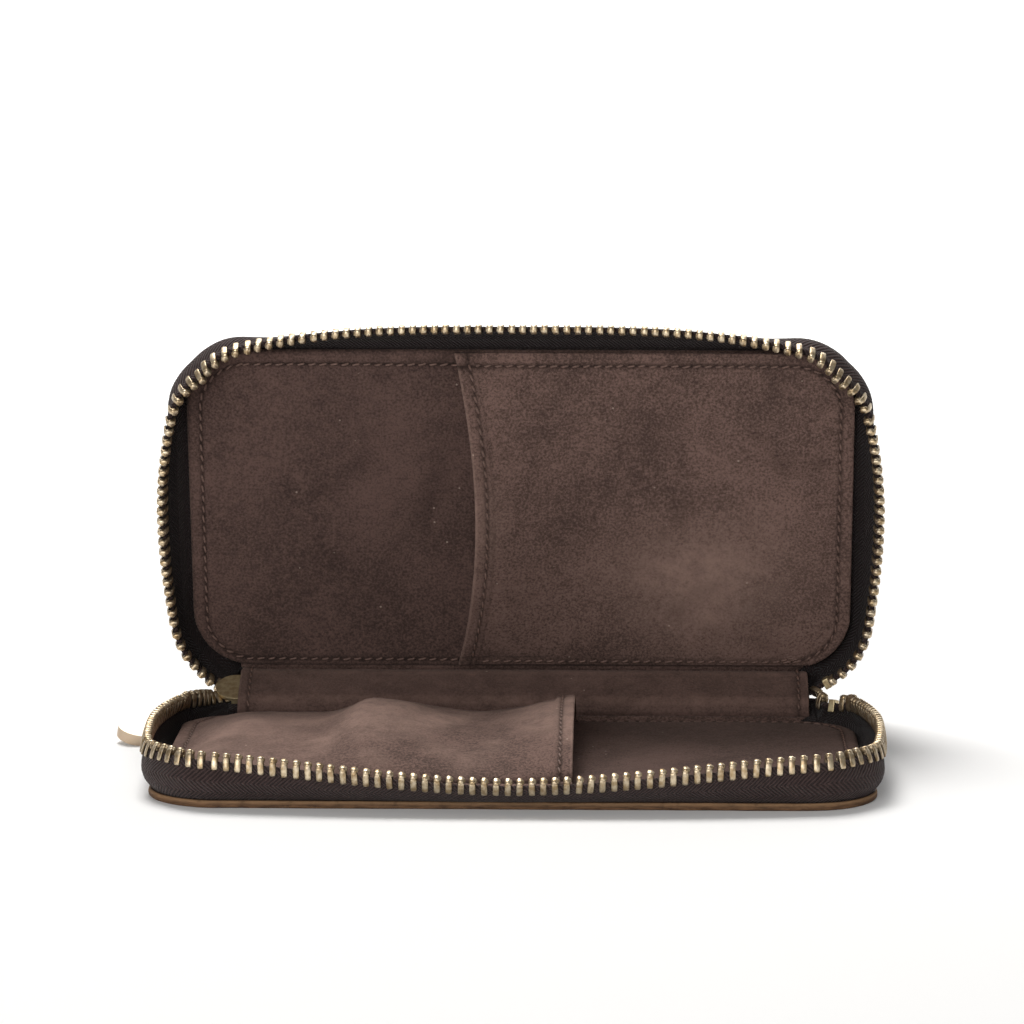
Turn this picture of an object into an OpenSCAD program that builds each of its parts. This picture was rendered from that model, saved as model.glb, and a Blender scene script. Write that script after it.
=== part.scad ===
// Zip-around travel case for two watches, standing open on its base.
// X runs along the case, +Y goes to the hinged side, Z is up.
// The origin is the middle of the base's underside. Sizes are in millimetres.

/* [Case] */
// Length of each half along X
case_w = 150; // [130:1:175]
// Depth of each half from its free edge to its fold
case_d = 78.5; // [70:0.5:95]
// Radius of the outer corners
corner_r = 15; // [12:0.5:20]
// Thickness of the outer leather
leather_t = 1.6; // [1.2:0.1:2.2]
// Thickness of the stiffening board under each lining
board_t = 0.6; // [0.4:0.1:1]
// Thickness of the thin foam under each lining
foam_t = 0.8; // [0.5:0.1:1.5]
// Thickness of the suede lining
lining_t = 0.8; // [0.6:0.1:1.2]
// Distance from the leather's edge to the lining's edge
lining_inset = 1.9; // [1.8:0.1:3]
// Width of the lining's rim that hides the foam's edge
lining_rim = 3; // [2:0.5:6]

/* [Folds] */
// Width of the spine between its two folds
spine_w = 22.8; // [22.6:0.1:30]
// Distance from each end of a half to the end of the spine
spine_end = 11; // [10:0.5:13]
// Slope of the spine as the case stands open
spine_slope = 24; // [0:1:80]
// Angle between the base and the open lid
lid_open = 77; // [40:1:150]
// Clearance from a fold's axis to the leather on each side
fold_gap = 0.4; // [0.3:0.05:0.6]

/* [Zip tape] */
// Distance from the leather's edge to the middle of the zip wall
wall_inset = 1.2; // [1:0.1:2]
// Thickness of the woven tape
tape_t = 0.7; // [0.5:0.05:0.9]
// Width of the tape that is sewn in under the lining
flange_w = 6; // [4:0.5:7]
// Height of the wall from its seam to the corded edge
wall_h = 8.2; // [6.5:0.1:9]
// Angle by which the wall curls inwards from its seam to its corded edge
wall_curl = 56; // [30:1:64]
// Diameter of the corded edge that the teeth grip
cord_d = 1.2; // [1:0.05:1.4]
// How far the base's wall sinks towards the spine
wall_sink = 1.8; // [0:0.1:2.5]
// Outward lean of the base's wall at the middle of its free edge
base_front_lean = 62; // [45:1:62]
// Outward lean of the base's wall at its free corners
base_corner_lean = 5; // [-2:1:12]
// Outward lean of the base's wall at its sides
base_side_lean = 22; // [12:1:30]
// Outward lean of the base's wall at its folded corners
base_rear_lean = 2; // [-2:1:12]
// Outward lean of the base's wall where it ends
base_end_lean = 42; // [34:1:50]
// How long the base's wall keeps its lean along the free edge before it turns up
base_hold = 0.9; // [0.8:0.1:2]
// Outward lean of the lid's wall at the middle of its free edge
lid_top_lean = 46; // [26:1:60]
// Outward lean of the lid's wall at its free corners
lid_corner_lean = -4; // [-8:1:10]
// Outward lean of the lid's wall at its sides
lid_side_lean = 37; // [16:1:42]
// Outward lean of the lid's wall at its folded corners
lid_low_lean = 20; // [8:1:26]
// Outward lean of the lid's wall where it ends
lid_end_lean = 17; // [10:1:30]
// How long the lid's wall keeps its lean along the free edge before it turns up
lid_hold = 1.7; // [0.8:0.1:2]

/* [Zip teeth] */
// Distance from one tooth to the next
pitch = 2.38; // [2.2:0.02:2.8]
// Length of a tooth across the tape
tooth_l = 3.7; // [3.4:0.05:4]
// Height of a tooth's meshing head
head_l = 1.8; // [1.6:0.05:2]
// Thickness of a tooth through the tape
tooth_t = 2.1; // [1.9:0.05:2.4]
// Width of a tooth's leg along the row
leg_w = 0.95; // [0.8:0.05:1.1]
// Clearance between two meshed heads
mesh_gap = 0.07; // [0.05:0.01:0.15]
// Distance that the legs squeeze the corded edge
crimp = 0.02; // [0:0.01:0.05]
// Radius of the nib on a head
nib_r = 0.32; // [0.2:0.02:0.4]
// Distance that the nib stands out
nib_h = 0.2; // [0.1:0.02:0.3]

/* [Slider] */
// Length of the slider
slider_l = 10; // [9:0.5:12]
// Half the width of the slider's round front
slider_front_r = 4.6; // [4.4:0.1:5]
// Half the width of the slider's rear
slider_rear_w = 3.65; // [3.5:0.05:4]
// Thickness of each slider plate
plate_t = 0.85; // [0.7:0.05:1]
// Clearance between the plates and the teeth
plate_gap = 0.15; // [0.1:0.05:0.2]
// Clearance between the side rails and the tape
rail_gap = 0.1; // [0.08:0.01:0.15]
// Clearance between the slider and the notch in the spine's leather
notch_gap = 1.7; // [1.4:0.1:2.2]
// Distance by which the notch widens on each side at the spine's end
notch_flare = 2.4; // [2:0.1:2.6]
// Distance that the slider's rear is tucked under the spine lining
slider_tuck = 5.9; // [3:0.1:7]
// Length of the bail
bail_l = 7.2; // [6.5:0.1:8]
// Width of the bail's strip
bail_w = 1.5; // [1.2:0.1:1.7]
// Clear height inside the bail
bail_h = 2.7; // [2.6:0.1:3]
// Thickness of the bail's strip
bail_t = 0.85; // [0.7:0.05:1]
// Length of the bottom stop
stop_l = 2.8; // [2:0.1:4]

/* [Tape ends on the spine] */
// Length of the tape ends that show beyond the spine's lining
tail_show = 2.6; // [1.5:0.1:3.5]
// Length of the tape ends that are sewn down behind the bottom stop
tail_hold = 6; // [4:0.5:10]
// Length of the tape ends that are sewn down away from the slider
tail_far = 12; // [8:0.5:18]
// Distance from the spine's leather to the rows of teeth away from the slider
tail_gap = 0.6; // [0.4:0.1:1]

/* [Spine lining] */
// Height of the spine lining's long edges
shoulder_z = 2.9; // [2.7:0.1:3.4]
// Distance over which the lining slopes up from its long edges
shoulder_w = 3; // [2:0.1:3.2]

/* [Pull tab] */
// Length from the tab's bar to the centre of its round end
tab_l = 30; // [24:0.5:36]
// Width of the tab at its round end
tab_end_w = 9; // [7:0.1:10]
// Width of the tab at its eye
tab_eye_w = 9.4; // [9:0.1:11]
// Width of the tab's waist
tab_waist_w = 6.4; // [5:0.1:8]
// Thickness of the tab's blade
tab_t = 2.4; // [1.6:0.1:2.6]
// Thickness of the tab round its eye
eye_t = 1.2; // [1:0.1:1.4]
// Width of the slot in the eye
slot_w = 7; // [6.8:0.1:7.4]
// Length of the slot in the eye
slot_l = 3.9; // [3.6:0.1:4.5]
// Diameter of the bar inside the bail
bar_d = 1.3; // [1:0.05:1.4]
// Turn of the tab to the side
tab_skew = 48; // [45:1:55]
// Turn of the tab towards the case
tab_tilt = 16; // [12:0.5:17]

/* [Pockets] */
// Thickness of the pocket suede
pocket_t = 0.8; // [0.6:0.1:1.2]
// Distance from the lining's edge to the pocket's edge
pocket_inset = 0.8; // [0.5:0.1:2]
// Place of the base pocket's mouth along X
base_mouth = 12.5; // [0:0.5:30]
// Place of the lid pocket's mouth at its middle, from the lid's centre
lid_mouth = 9.8; // [0:0.2:25]
// How far the lid pocket's mouth bows back at its middle
lid_bow = 4.2; // [0:0.2:8]
// Height of the base pocket's low part
base_fill = 5; // [4.6:0.1:6]
// Height of the lid pocket's low part
lid_fill = 0.9; // [0.5:0.1:2]
// Extra height where the base pocket swells over what it holds
swell = 2.6; // [0:0.1:3]
// Distance from the base pocket's swelling to the middle of the case
swell_x = 30; // [15:1:45]
// Reach of the base pocket's swelling
swell_reach = 12; // [8:1:16]
// Extra height of the base pocket's open mouth
base_gape = 2.2; // [0:0.1:2.6]
// Reach of the base pocket's open mouth
base_gape_reach = 13; // [8:1:18]
// Extra height of the lid pocket's open mouth
lid_gape = 5.2; // [4.8:0.1:5.4]
// Reach of the lid pocket's open mouth
lid_gape_reach = 17; // [10:1:22]
// Distance over which a pocket rises from its sewn end
pocket_wake = 14; // [10:1:20]

/* [Hidden] */
$fn = 48;
eps = 0.01;
soft_gap = 0.3;

// Heights of the layers above the leather's outer face
seam_z = leather_t + board_t / 2;
inner_z = leather_t + board_t;
lining_z = inner_z + foam_t + lining_t;

// Fold axes, as points in the Y and Z plane
fold_y = case_d / 2 + fold_gap;
fold_z = leather_t / 2;

// Length of the spine's leather
spine_l = case_w - 2 * spine_end;

// Leans of each wall in order, from the free edge to the row's end, and how long the first is kept
base_lean = [base_front_lean, base_corner_lean, base_side_lean, base_rear_lean, base_end_lean,
             base_hold];
lid_lean = [lid_top_lean, lid_corner_lean, lid_side_lean, lid_low_lean, lid_end_lean, lid_hold];

// Half sizes of the path that the zip wall follows
path_x = case_w / 2 - wall_inset;
path_y = case_d / 2 - wall_inset;
path_r = corner_r - wall_inset;
run_x = path_x - path_r;
run_y = path_y - path_r;
arc_l = path_r * PI / 2;

// Distances along the path from the middle of the free edge
at_arc = run_x;
at_side = at_arc + arc_l;
at_rear = at_side + 2 * run_y;
mid_corner = at_arc + arc_l / 2;
mid_side = at_side + run_y;
low_corner = at_rear + 0.15 * arc_l;
row_clear_end = at_rear + path_r * 0.7;
row_full_end = at_rear + path_r * acos((spine_l / 2 + tail_gap + 1.4 - run_x) / path_r) * PI / 180;

// Corded edge, teeth and their meshing line
cord_r = cord_d / 2;
tooth_foot = wall_h - 1.2;
tooth_top = tooth_foot + tooth_l;
head_w = pitch / 2 - mesh_gap;
mesh_at = tooth_top - head_l / 2;
chain_z = leather_t / 2 + cord_r;
mid_spine = spine_w / 2;

// Slider levels from the chain's middle plane
plate_in = tooth_t / 2 + plate_gap;
plate_out = plate_in + plate_t;
rail_in = tape_t / 2 + rail_gap;
lining_end = spine_l / 2 - 0.4;
slider_x = -lining_end + slider_tuck - slider_l / 2;
bail_out = plate_out + bail_h;
bar_at = plate_out + 1.6;
bar_x = -bail_l / 2 + 1.9 + bail_t;
tunnel_z = chain_z + plate_out + soft_gap;
skirt_y = lining_z - fold_z + soft_gap + 0.1;
notch_x = -lining_end + slider_tuck + stop_l + 1.2;
notch_w = 2 * (slider_front_r + notch_gap);

function smooth(t) = let (c = min(1, max(0, t))) c * c * (3 - 2 * c);

// Point and heading on the path at distance s from the middle of the free edge
function path_at(s) =
    let (a = abs(s), g = s < 0 ? -1 : 1)
    let (f = (a - at_arc) / path_r * 180 / PI, r = (a - at_rear) / path_r * 180 / PI)
    a < at_arc ? [s, -path_y, 0] :
    a < at_side ? [g * (run_x + path_r * sin(f)), -run_y - path_r * cos(f), g * f] :
    a < at_rear ? [g * path_x, a - at_side - run_y, g * 90] :
    [g * (run_x + path_r * cos(r)), run_y + path_r * sin(r), g * (90 + r)];

// Outward lean of the wall at distance s
function lean_at(s, v) =
    let (a = abs(s))
    a < mid_corner ? v[1] + (v[0] - v[1]) * cos(90 * pow(a / mid_corner, v[5])) :
    a < mid_side ? v[1] + (v[2] - v[1]) * sin(90 * (a - mid_corner) / (mid_side - mid_corner)) :
    a < low_corner ? v[3] + (v[2] - v[3]) * cos(90 * (a - mid_side) / (low_corner - mid_side)) :
    v[3] + (v[4] - v[3]) * smooth((a - low_corner) / (row_full_end - low_corner));

function sink_at(s, sink) = sink * smooth((abs(s) - mid_side) / (row_full_end - mid_side));

// Directions up the wall and out of it, for a lean at a heading
function up_dir(lean, turn) = [sin(lean) * sin(turn), -sin(lean) * cos(turn), cos(lean)];
function out_dir(lean, turn) = [cos(lean) * sin(turn), -cos(lean) * cos(turn), -sin(lean)];

// Lean of the wall w up it, where its free part is top high
function curl_at(s, w, v, top) = lean_at(s, v) + wall_curl * (0.5 - min(w, top) / top);

// Point on the wall: w up it and q out of it. It follows an arc, and goes straight on past its top
function wall_at(s, w, q, v, sink) =
    let (p = path_at(s), top = wall_h - sink_at(s, sink), bend = top / wall_curl * 180 / PI)
    let (a0 = curl_at(s, 0, v, top), a1 = curl_at(s, w, v, top), over = max(0, w - top))
    let (o = [sin(p[2]), -cos(p[2]), 0], along = bend * (cos(a1) - cos(a0)))
    [p[0], p[1], seam_z] + along * o + [0, 0, bend * (sin(a0) - sin(a1))]
    + over * up_dir(a1, p[2]) + q * out_dir(a1, p[2]);

// One cross-section of the tape: the sewn flange, the curled wall and its corded edge
function tape_ring(s, v, sink) =
    let (p = path_at(s), o = [sin(p[2]), -cos(p[2]), 0], foot = [p[0], p[1], 0], h = tape_t / 2)
    let (top = wall_h - sink_at(s, sink), free = top - cord_d)
    concat(
        [foot - flange_w * o + [0, 0, leather_t], foot + h * o + [0, 0, leather_t]],
        [for (i = [1 : 4]) wall_at(s, free * i / 4, h, v, sink)],
        [wall_at(s, top, cord_r, v, sink),
         wall_at(s, top + cord_r, 0, v, sink),
         wall_at(s, top, -cord_r, v, sink)],
        [for (i = [4 : -1 : 1]) wall_at(s, free * i / 4, -h, v, sink)],
        [foot - h * o + [0, 0, inner_z + 0.1],
         foot - (h + 0.2) * o + [0, 0, inner_z],
         foot - flange_w * o + [0, 0, inner_z]]);

// Distances at which the tape is given a cross-section, from one end to the other
function half_stops(end) = concat(
    [for (i = [0 : 8]) at_arc * i / 9],
    [for (i = [0 : 9]) at_arc + arc_l * i / 10],
    [for (i = [0 : 6]) at_side + 2 * run_y * i / 7],
    [for (i = [0 : 7]) at_rear + (end - at_rear) * i / 7]);
function all_stops(near, far) = concat(
    [let (h = half_stops(near)) for (i = [len(h) - 1 : -1 : 1]) -h[i]],
    half_stops(far));

// Closed skin through a list of rings of equal length
module skin_through(rings) {
    n = len(rings[0]);
    m = len(rings);
    sides = [for (i = [0 : m - 2]) for (j = [0 : n - 1]) for (k = [0, 1])
        let (a = i * n + j, b = i * n + (j + 1) % n)
        k == 0 ? [a, b, b + n] : [a, b + n, a + n]];
    polyhedron(points = [for (r = rings) for (p = r) p], faces = concat(sides, tape_ends(n, m)));
}

// End faces of the tape, cut into pieces that each stay convex
function tape_ends(n, m) =
    let (f = [[0, 15, 14], [0, 14, 1], [1, 14, 13], [1, 13, 12], [1, 12, 2], [2, 12, 11], [2, 11, 3],
              [3, 11, 10], [3, 10, 4], [4, 10, 9], [4, 9, 5], [5, 9, 8], [5, 8, 6], [6, 8, 7]])
    let (e = (m - 1) * n)
    concat(f, [for (t = f) [e + t[0], e + t[2], e + t[1]]]);

module tape(v, sink, near, far) {
    color("#2b211f")
    skin_through([for (s = all_stops(near, far)) tape_ring(s, v, sink)]);
}

// One tooth: legs that grip the corded edge, a head with a nib and a matching dimple
module tooth() {
    difference() {
        rotate([90, 0, 0])
        linear_extrude(tooth_t, center = true)
        polygon([[-leg_w / 2, tooth_foot], [leg_w / 2, tooth_foot],
                 [leg_w / 2, tooth_top - head_l - 0.2], [head_w / 2, tooth_top - head_l],
                 [head_w / 2, tooth_top - 0.35], [head_w / 4, tooth_top],
                 [-head_w / 4, tooth_top], [-head_w / 2, tooth_top - 0.35],
                 [-head_w / 2, tooth_top - head_l], [-leg_w / 2, tooth_top - head_l - 0.2]]);
        translate([-pitch, -cord_r + crimp, tooth_foot - 1])
        cube([2 * pitch, cord_d - 2 * crimp, wall_h + cord_r + 0.05 - tooth_foot + 1]);
        translate([-head_w, 0, mesh_at])
        rotate([0, 90, 0])
        cylinder(r = nib_r + mesh_gap, h = head_w / 2 + nib_h, $fn = 16);
    }
    translate([head_w / 2 - eps, 0, mesh_at])
    rotate([0, 90, 0])
    cylinder(r = nib_r, h = nib_h, $fn = 16);
}

// Puts a tooth, or a stop, on the wall at distance s
module on_wall(s, v, sink) {
    turn = path_at(s)[2];
    top = wall_h - sink_at(s, sink);
    lean = curl_at(s, top, v, top);
    translate(wall_at(s, top, 0, v, sink) - wall_h * up_dir(lean, turn))
    rotate([lean, 0, turn])
    children();
}

// A row starts at the slider's end; the lid's row is half a pitch further on, so that rows can mesh
module teeth(v, sink, side) {
    step = side > 0 ? 0.6 : 1.1;
    n = floor((row_clear_end + row_full_end - 3 * pitch) / pitch);
    color("#a08a5c")
    for (i = [0 : n - 1])
        on_wall(side * (-row_clear_end + pitch * (i + step)), v, sink) tooth();
}

// Small clamped stop past the last tooth, where the closed slider would end
module top_stop(v, sink, far) {
    color("#a08a5c")
    on_wall(far - 0.9, v, sink)
    difference() {
        translate([-0.75, -tooth_t / 2 - 0.1, tooth_foot - 0.2])
        cube([1.5, tooth_t + 0.2, tooth_l - 0.9]);
        translate([-2, -cord_r + crimp, tooth_foot - 1])
        cube([4, cord_d - 2 * crimp, wall_h + cord_r + 0.05 - tooth_foot + 1]);
    }
}

module rounded_outline(w, d, r) {
    square([w - 2 * r, d], center = true);
    square([w, d - 2 * r], center = true);
    for (x = [-1, 1], y = [-1, 1])
        translate([x * (w / 2 - r), y * (d / 2 - r)]) circle(r = r, $fn = 96);
}

// Plate of the half's outline, drawn in by an inset, from one height to another
module plate(inset, z0, z1) {
    translate([0, 0, z0])
    linear_extrude(z1 - z0)
    rounded_outline(case_w - 2 * inset, case_d - 2 * inset, corner_r - inset);
}

// Leather of one half, bevelled on the inside of its folded edge
module cover() {
    color("#6a4a30")
    difference() {
        plate(0, 0, leather_t);
        translate([0, case_d / 2, leather_t])
        rotate([45, 0, 0])
        cube([case_w, leather_t * 0.72, leather_t * 0.72], center = true);
    }
}

module board() {
    color("#8d8371")
    plate(wall_inset + flange_w + soft_gap, leather_t, inner_z);
}

module foam() {
    color("#3c3735")
    plate(lining_inset + lining_rim, inner_z, inner_z + foam_t);
}

module lining() {
    color("#54433b")
    difference() {
        plate(lining_inset, inner_z, lining_z);
        plate(lining_inset + lining_rim, inner_z - 1, inner_z + foam_t);
    }
}

// The pocket's edge at the fold stays clear of the spine's lining when the case is shut
pocket_fold_y = fold_y - tunnel_z - lining_t - soft_gap;

// Half depth of the pocket at a place along X, following the lining's round corners
pocket_x = case_w / 2 - lining_inset - pocket_inset;
pocket_y = case_d / 2 - lining_inset - pocket_inset;
pocket_r = corner_r - lining_inset - pocket_inset;
function pocket_half(x, v) =
    let (c = max(0, -x - (pocket_x - pocket_r)))
    let (half = pocket_y - pocket_r + sqrt(max(0, pocket_r * pocket_r - c * c)))
    v > 0 ? min(half, pocket_fold_y) : half;

// Clear height under the pocket at a place
function pocket_rise(x, v, fill, humps) =
    let (wake = sin(90 * min(1, max(0, (x + pocket_x) / pocket_wake))))
    let (h = [for (m = humps) m[1] * exp(-pow((x - m[0]) / m[2], 2))], all = h * [for (m = humps) 1])
    wake * pow(cos(90 * min(1, abs(v))), 0.62) * (fill + all);

// Sheet of suede sewn down on three sides and open at its mouth
module pocket(mouth, bow, fill, humps) {
    nx = 26;
    ny = 18;
    grid = [for (i = [0 : nx]) for (j = [0 : ny])
        let (v = -1 + 2 * j / ny, end = mouth + bow * v * v)
        let (x = -pocket_x + (end + pocket_x) * i / nx, y = v * pocket_half(x, v))
        [x, y, lining_z + pocket_rise(x, v, fill, humps)]];
    n = (nx + 1) * (ny + 1);
    top = [for (p = grid) p + [0, 0, pocket_t]];
    row = ny + 1;
    sheet = [for (i = [0 : nx - 1]) for (j = [0 : ny - 1]) for (k = [0 : 3])
        let (a = i * row + j, b = a + 1, c = a + row, d = c + 1)
        k == 0 ? [a, c, d] : k == 1 ? [a, d, b] : k == 2 ? [n + a, n + d, n + c] : [n + a, n + b, n + d]];
    rim = concat([for (i = [0 : nx - 1]) i * row], [for (j = [0 : ny - 1]) nx * row + j],
                 [for (i = [nx : -1 : 1]) i * row + ny], [for (j = [ny : -1 : 1]) j]);
    edge = [for (i = [0 : len(rim) - 1]) for (k = [0, 1])
        let (a = rim[i], b = rim[(i + 1) % len(rim)])
        k == 0 ? [a, n + a, n + b] : [a, n + b, b]];
    color("#5a473e")
    polyhedron(points = concat(grid, top), faces = concat(sheet, edge));
}

// Turns a half's own frame into the open lid's place
module as_lid() {
    translate([0, fold_y + spine_w * cos(spine_slope), fold_z + spine_w * sin(spine_slope)])
    rotate([180 - lid_open, 0, 0])
    translate([0, fold_y, -fold_z])
    rotate([0, 0, 180])
    children();
}

// Puts a piece on the spine: Y runs up the spine from the base's fold, Z is its inner side
module on_spine() {
    translate([0, fold_y, fold_z])
    rotate([spine_slope, 0, 0])
    children();
}

module base_cover() cover();
module base_board() board();
module base_foam() foam();
module base_lining() lining();
module base_pocket()
    pocket(base_mouth, 0, base_fill,
           [[-swell_x, swell, swell_reach], [base_mouth, base_gape, base_gape_reach]]);
module base_tape() tape(base_lean, wall_sink, row_clear_end, row_full_end);
module base_teeth() teeth(base_lean, wall_sink, 1);
module base_top_stop() top_stop(base_lean, wall_sink, row_full_end);

module lid_cover() as_lid() cover();
module lid_board() as_lid() board();
module lid_foam() as_lid() foam();
module lid_lining() as_lid() lining();
module lid_pocket() as_lid() pocket(lid_mouth, lid_bow, lid_fill, [[lid_mouth, lid_gape, lid_gape_reach]]);
module lid_tape() as_lid() tape(lid_lean, 0, row_full_end, row_clear_end);
module lid_teeth() as_lid() teeth(lid_lean, 0, -1);
module lid_top_stop() as_lid() mirror([1, 0, 0]) top_stop(lid_lean, 0, row_full_end);

// Leather strip of the spine, bevelled at both folds and notched for the slider
module spine_leather() {
    color("#6a4a30")
    on_spine()
    difference() {
        translate([-spine_l / 2, fold_gap, -leather_t / 2])
        cube([spine_l, spine_w - 2 * fold_gap, leather_t]);
        for (y = [fold_gap, spine_w - fold_gap])
            translate([0, y, leather_t / 2])
            rotate([45, 0, 0])
            cube([case_w, leather_t * 0.72, leather_t * 0.72], center = true);
        translate([0, mid_spine, -leather_t])
        linear_extrude(2 * leather_t)
        for (g = [-1, 1])
            polygon([[-spine_l, -g * eps], [notch_x, -g * eps], [notch_x, g * notch_w / 2],
                     [-spine_l / 2 + notch_flare, g * notch_w / 2],
                     [-spine_l / 2, g * (notch_w / 2 + notch_flare)],
                     [-spine_l, g * (notch_w / 2 + notch_flare)]]);
    }
}

// Section of the spine's lining, drawn in by an inset, from a low edge up over two sloping shoulders
function spine_profile(in, low) =
    let (rise = tunnel_z + lining_t - shoulder_z, slant = norm([shoulder_w, rise]))
    let (y0 = skirt_y + in, z0 = shoulder_z - in * (slant - rise) / shoulder_w)
    let (y1 = skirt_y + shoulder_w + in * (slant - shoulder_w) / rise, z1 = tunnel_z + lining_t - in)
    [[y0, low], [spine_w - y0, low], [spine_w - y0, z0], [spine_w - y1, z1], [y1, z1], [y0, z0]];

// Foam that keeps the spine's lining up, clear of the zip's end
module spine_foam() {
    foam_x0 = notch_x + soft_gap;
    tail_x = spine_l / 2 - tail_far;
    slot_h = cord_d + 0.1;
    color("#3c3735")
    on_spine()
    difference() {
        translate([foam_x0, 0, 0])
        rotate([90, 0, 90])
        linear_extrude(lining_end - foam_x0)
        polygon(spine_profile(lining_t, leather_t / 2));
        translate([tail_x - soft_gap, 0, leather_t / 2 - eps])
        cube([spine_l, spine_w, slot_h]);
        translate([foam_x0 - eps, 0, leather_t / 2 - eps])
        cube([tail_hold + soft_gap, spine_w, slot_h]);
    }
}

// Suede over the spine, turned down at its long edges
module spine_lining() {
    color("#54433b")
    on_spine()
    translate([-lining_end, 0, 0])
    rotate([90, 0, 90])
    linear_extrude(2 * lining_end)
    difference() {
        polygon(spine_profile(0, leather_t / 2));
        polygon(spine_profile(lining_t, 0));
    }
}

// One straight end of a tape on the spine, with its corded edge towards the middle.
// It is level with the teeth up to low_x, and lies on the leather from there on
module tail(x0, low_x, x1) {
    outer = skirt_y + lining_t + 0.1;
    inner = mid_spine - (mesh_at - wall_h);
    wide = inner - outer - cord_r * 0.5;
    if (low_x > x0)
        translate([x0, outer, chain_z - tape_t / 2])
        cube([low_x - x0 + eps, wide, tape_t]);
    translate([low_x, outer, leather_t / 2])
    cube([x1 - low_x, wide, tape_t]);
    translate([x0, inner, chain_z])
    rotate([0, 90, 0])
    cylinder(d = cord_d, h = x1 - x0);
}

// The same end on both sides of the spine's middle
module tail_pair(x0, low_x, x1) {
    color("#2b211f")
    on_spine() {
        tail(x0, low_x, x1);
        translate([0, spine_w, 0])
        mirror([0, 1, 0])
        tail(x0, low_x, x1);
    }
}

module tape_tails_left() tail_pair(-lining_end - tail_show, notch_x, notch_x + tail_hold);
module tape_tails_right() tail_pair(spine_l / 2 - tail_far, spine_l / 2 - tail_far, spine_l / 2 + tail_gap);

// The few teeth that stay meshed behind the slider
module chain_end() {
    first = -lining_end + slider_tuck - 0.9;
    color("#a08a5c")
    on_spine()
    for (i = [0 : 4])
        translate([first - i * pitch / 2, mid_spine, chain_z])
        rotate([0, 0, i % 2 == 0 ? 0 : 180])
        translate([0, -mesh_at, 0])
        rotate([-90, 0, 0])
        rotate([0, 0, i % 2 == 0 ? 0 : 180])
        tooth();
}

// Block clamped over both tapes behind the last teeth
module bottom_stop() {
    reach = mesh_at - tooth_foot + 0.3;
    color("#a08a5c")
    on_spine()
    translate([-lining_end + slider_tuck + 0.3, mid_spine, chain_z])
    difference() {
        translate([0, -reach, -tooth_t / 2 - 0.1])
        cube([stop_l, 2 * reach, tooth_t + 0.2]);
        for (y = [-1, 1])
            translate([-1, y * (mesh_at - wall_h), 0])
            rotate([0, 90, 0])
            cylinder(d = cord_d - 2 * crimp, h = stop_l + 2);
        for (y = [-1, 1])
            translate([-1, y < 0 ? -reach - 1 : mesh_at - wall_h, -tape_t / 2])
            cube([stop_l + 2, reach + 1 - mesh_at + wall_h, tape_t]);
    }
}

module slider_outline() {
    half = slider_l / 2;
    translate([-half + slider_front_r, 0]) circle(r = slider_front_r, $fn = 64);
    polygon([[-half + slider_front_r, slider_front_r], [half * 0.45, slider_rear_w],
             [half, slider_rear_w], [half, -slider_rear_w],
             [half * 0.45, -slider_rear_w], [-half + slider_front_r, -slider_front_r]]);
}

// Space that the teeth pass through: narrow at the rear, open at the front
module slider_channel() {
    half = slider_l / 2;
    back = slider_rear_w - 0.7;
    polygon([[half + 1, back], [half * 0.44, back], [-half * 0.5, slider_front_r + 0.4],
             [-half - 1, slider_front_r + 0.4], [-half - 1, -slider_front_r - 0.4],
             [-half * 0.5, -slider_front_r - 0.4], [half * 0.44, -back], [half + 1, -back]]);
}

// Places the slider's own frame on the spine: X along the chain, Z to the inside
module on_slider() {
    on_spine()
    translate([slider_x, mid_spine, chain_z])
    children();
}

// Two plates joined by a wedge, with rails that hold the teeth in
module slider_body() {
    half = slider_l / 2;
    color("#a3905f")
    on_slider() {
        for (z = [plate_in, -plate_out])
            translate([0, 0, z]) linear_extrude(plate_t) slider_outline();
        for (z = [rail_in, -plate_in - eps])
            translate([0, 0, z])
            linear_extrude(plate_in - rail_in + eps)
            difference() {
                slider_outline();
                slider_channel();
            }
        translate([0, 0, -plate_in - eps])
        linear_extrude(2 * plate_in + 2 * eps)
        polygon([[-half + 0.2, 0], [-half + 1.3, 0.95], [-half + 3, 0.1],
                 [-half + 3, -0.1], [-half + 1.3, -0.95]]);
    }
}

// Bridge on the outer plate that carries the pull tab
module slider_bail() {
    r = 1.2;
    color("#a3905f")
    on_slider()
    translate([0, bail_w / 2, -plate_out])
    rotate([90, 0, 0])
    linear_extrude(bail_w)
    difference() {
        union() {
            translate([-bail_l / 2, -bail_h - bail_t + r]) square([bail_l, bail_h + bail_t - r]);
            translate([-bail_l / 2 + r, -bail_h - bail_t]) square([bail_l - 2 * r, r + eps]);
            for (x = [-1, 1])
                translate([x * (bail_l / 2 - r), -bail_h - bail_t + r]) circle(r = r);
        }
        translate([-bail_l / 2 + bail_t + 0.15, -bail_h])
        square([bail_l - 2 * bail_t - 0.3, bail_h + 1]);
    }
}

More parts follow.
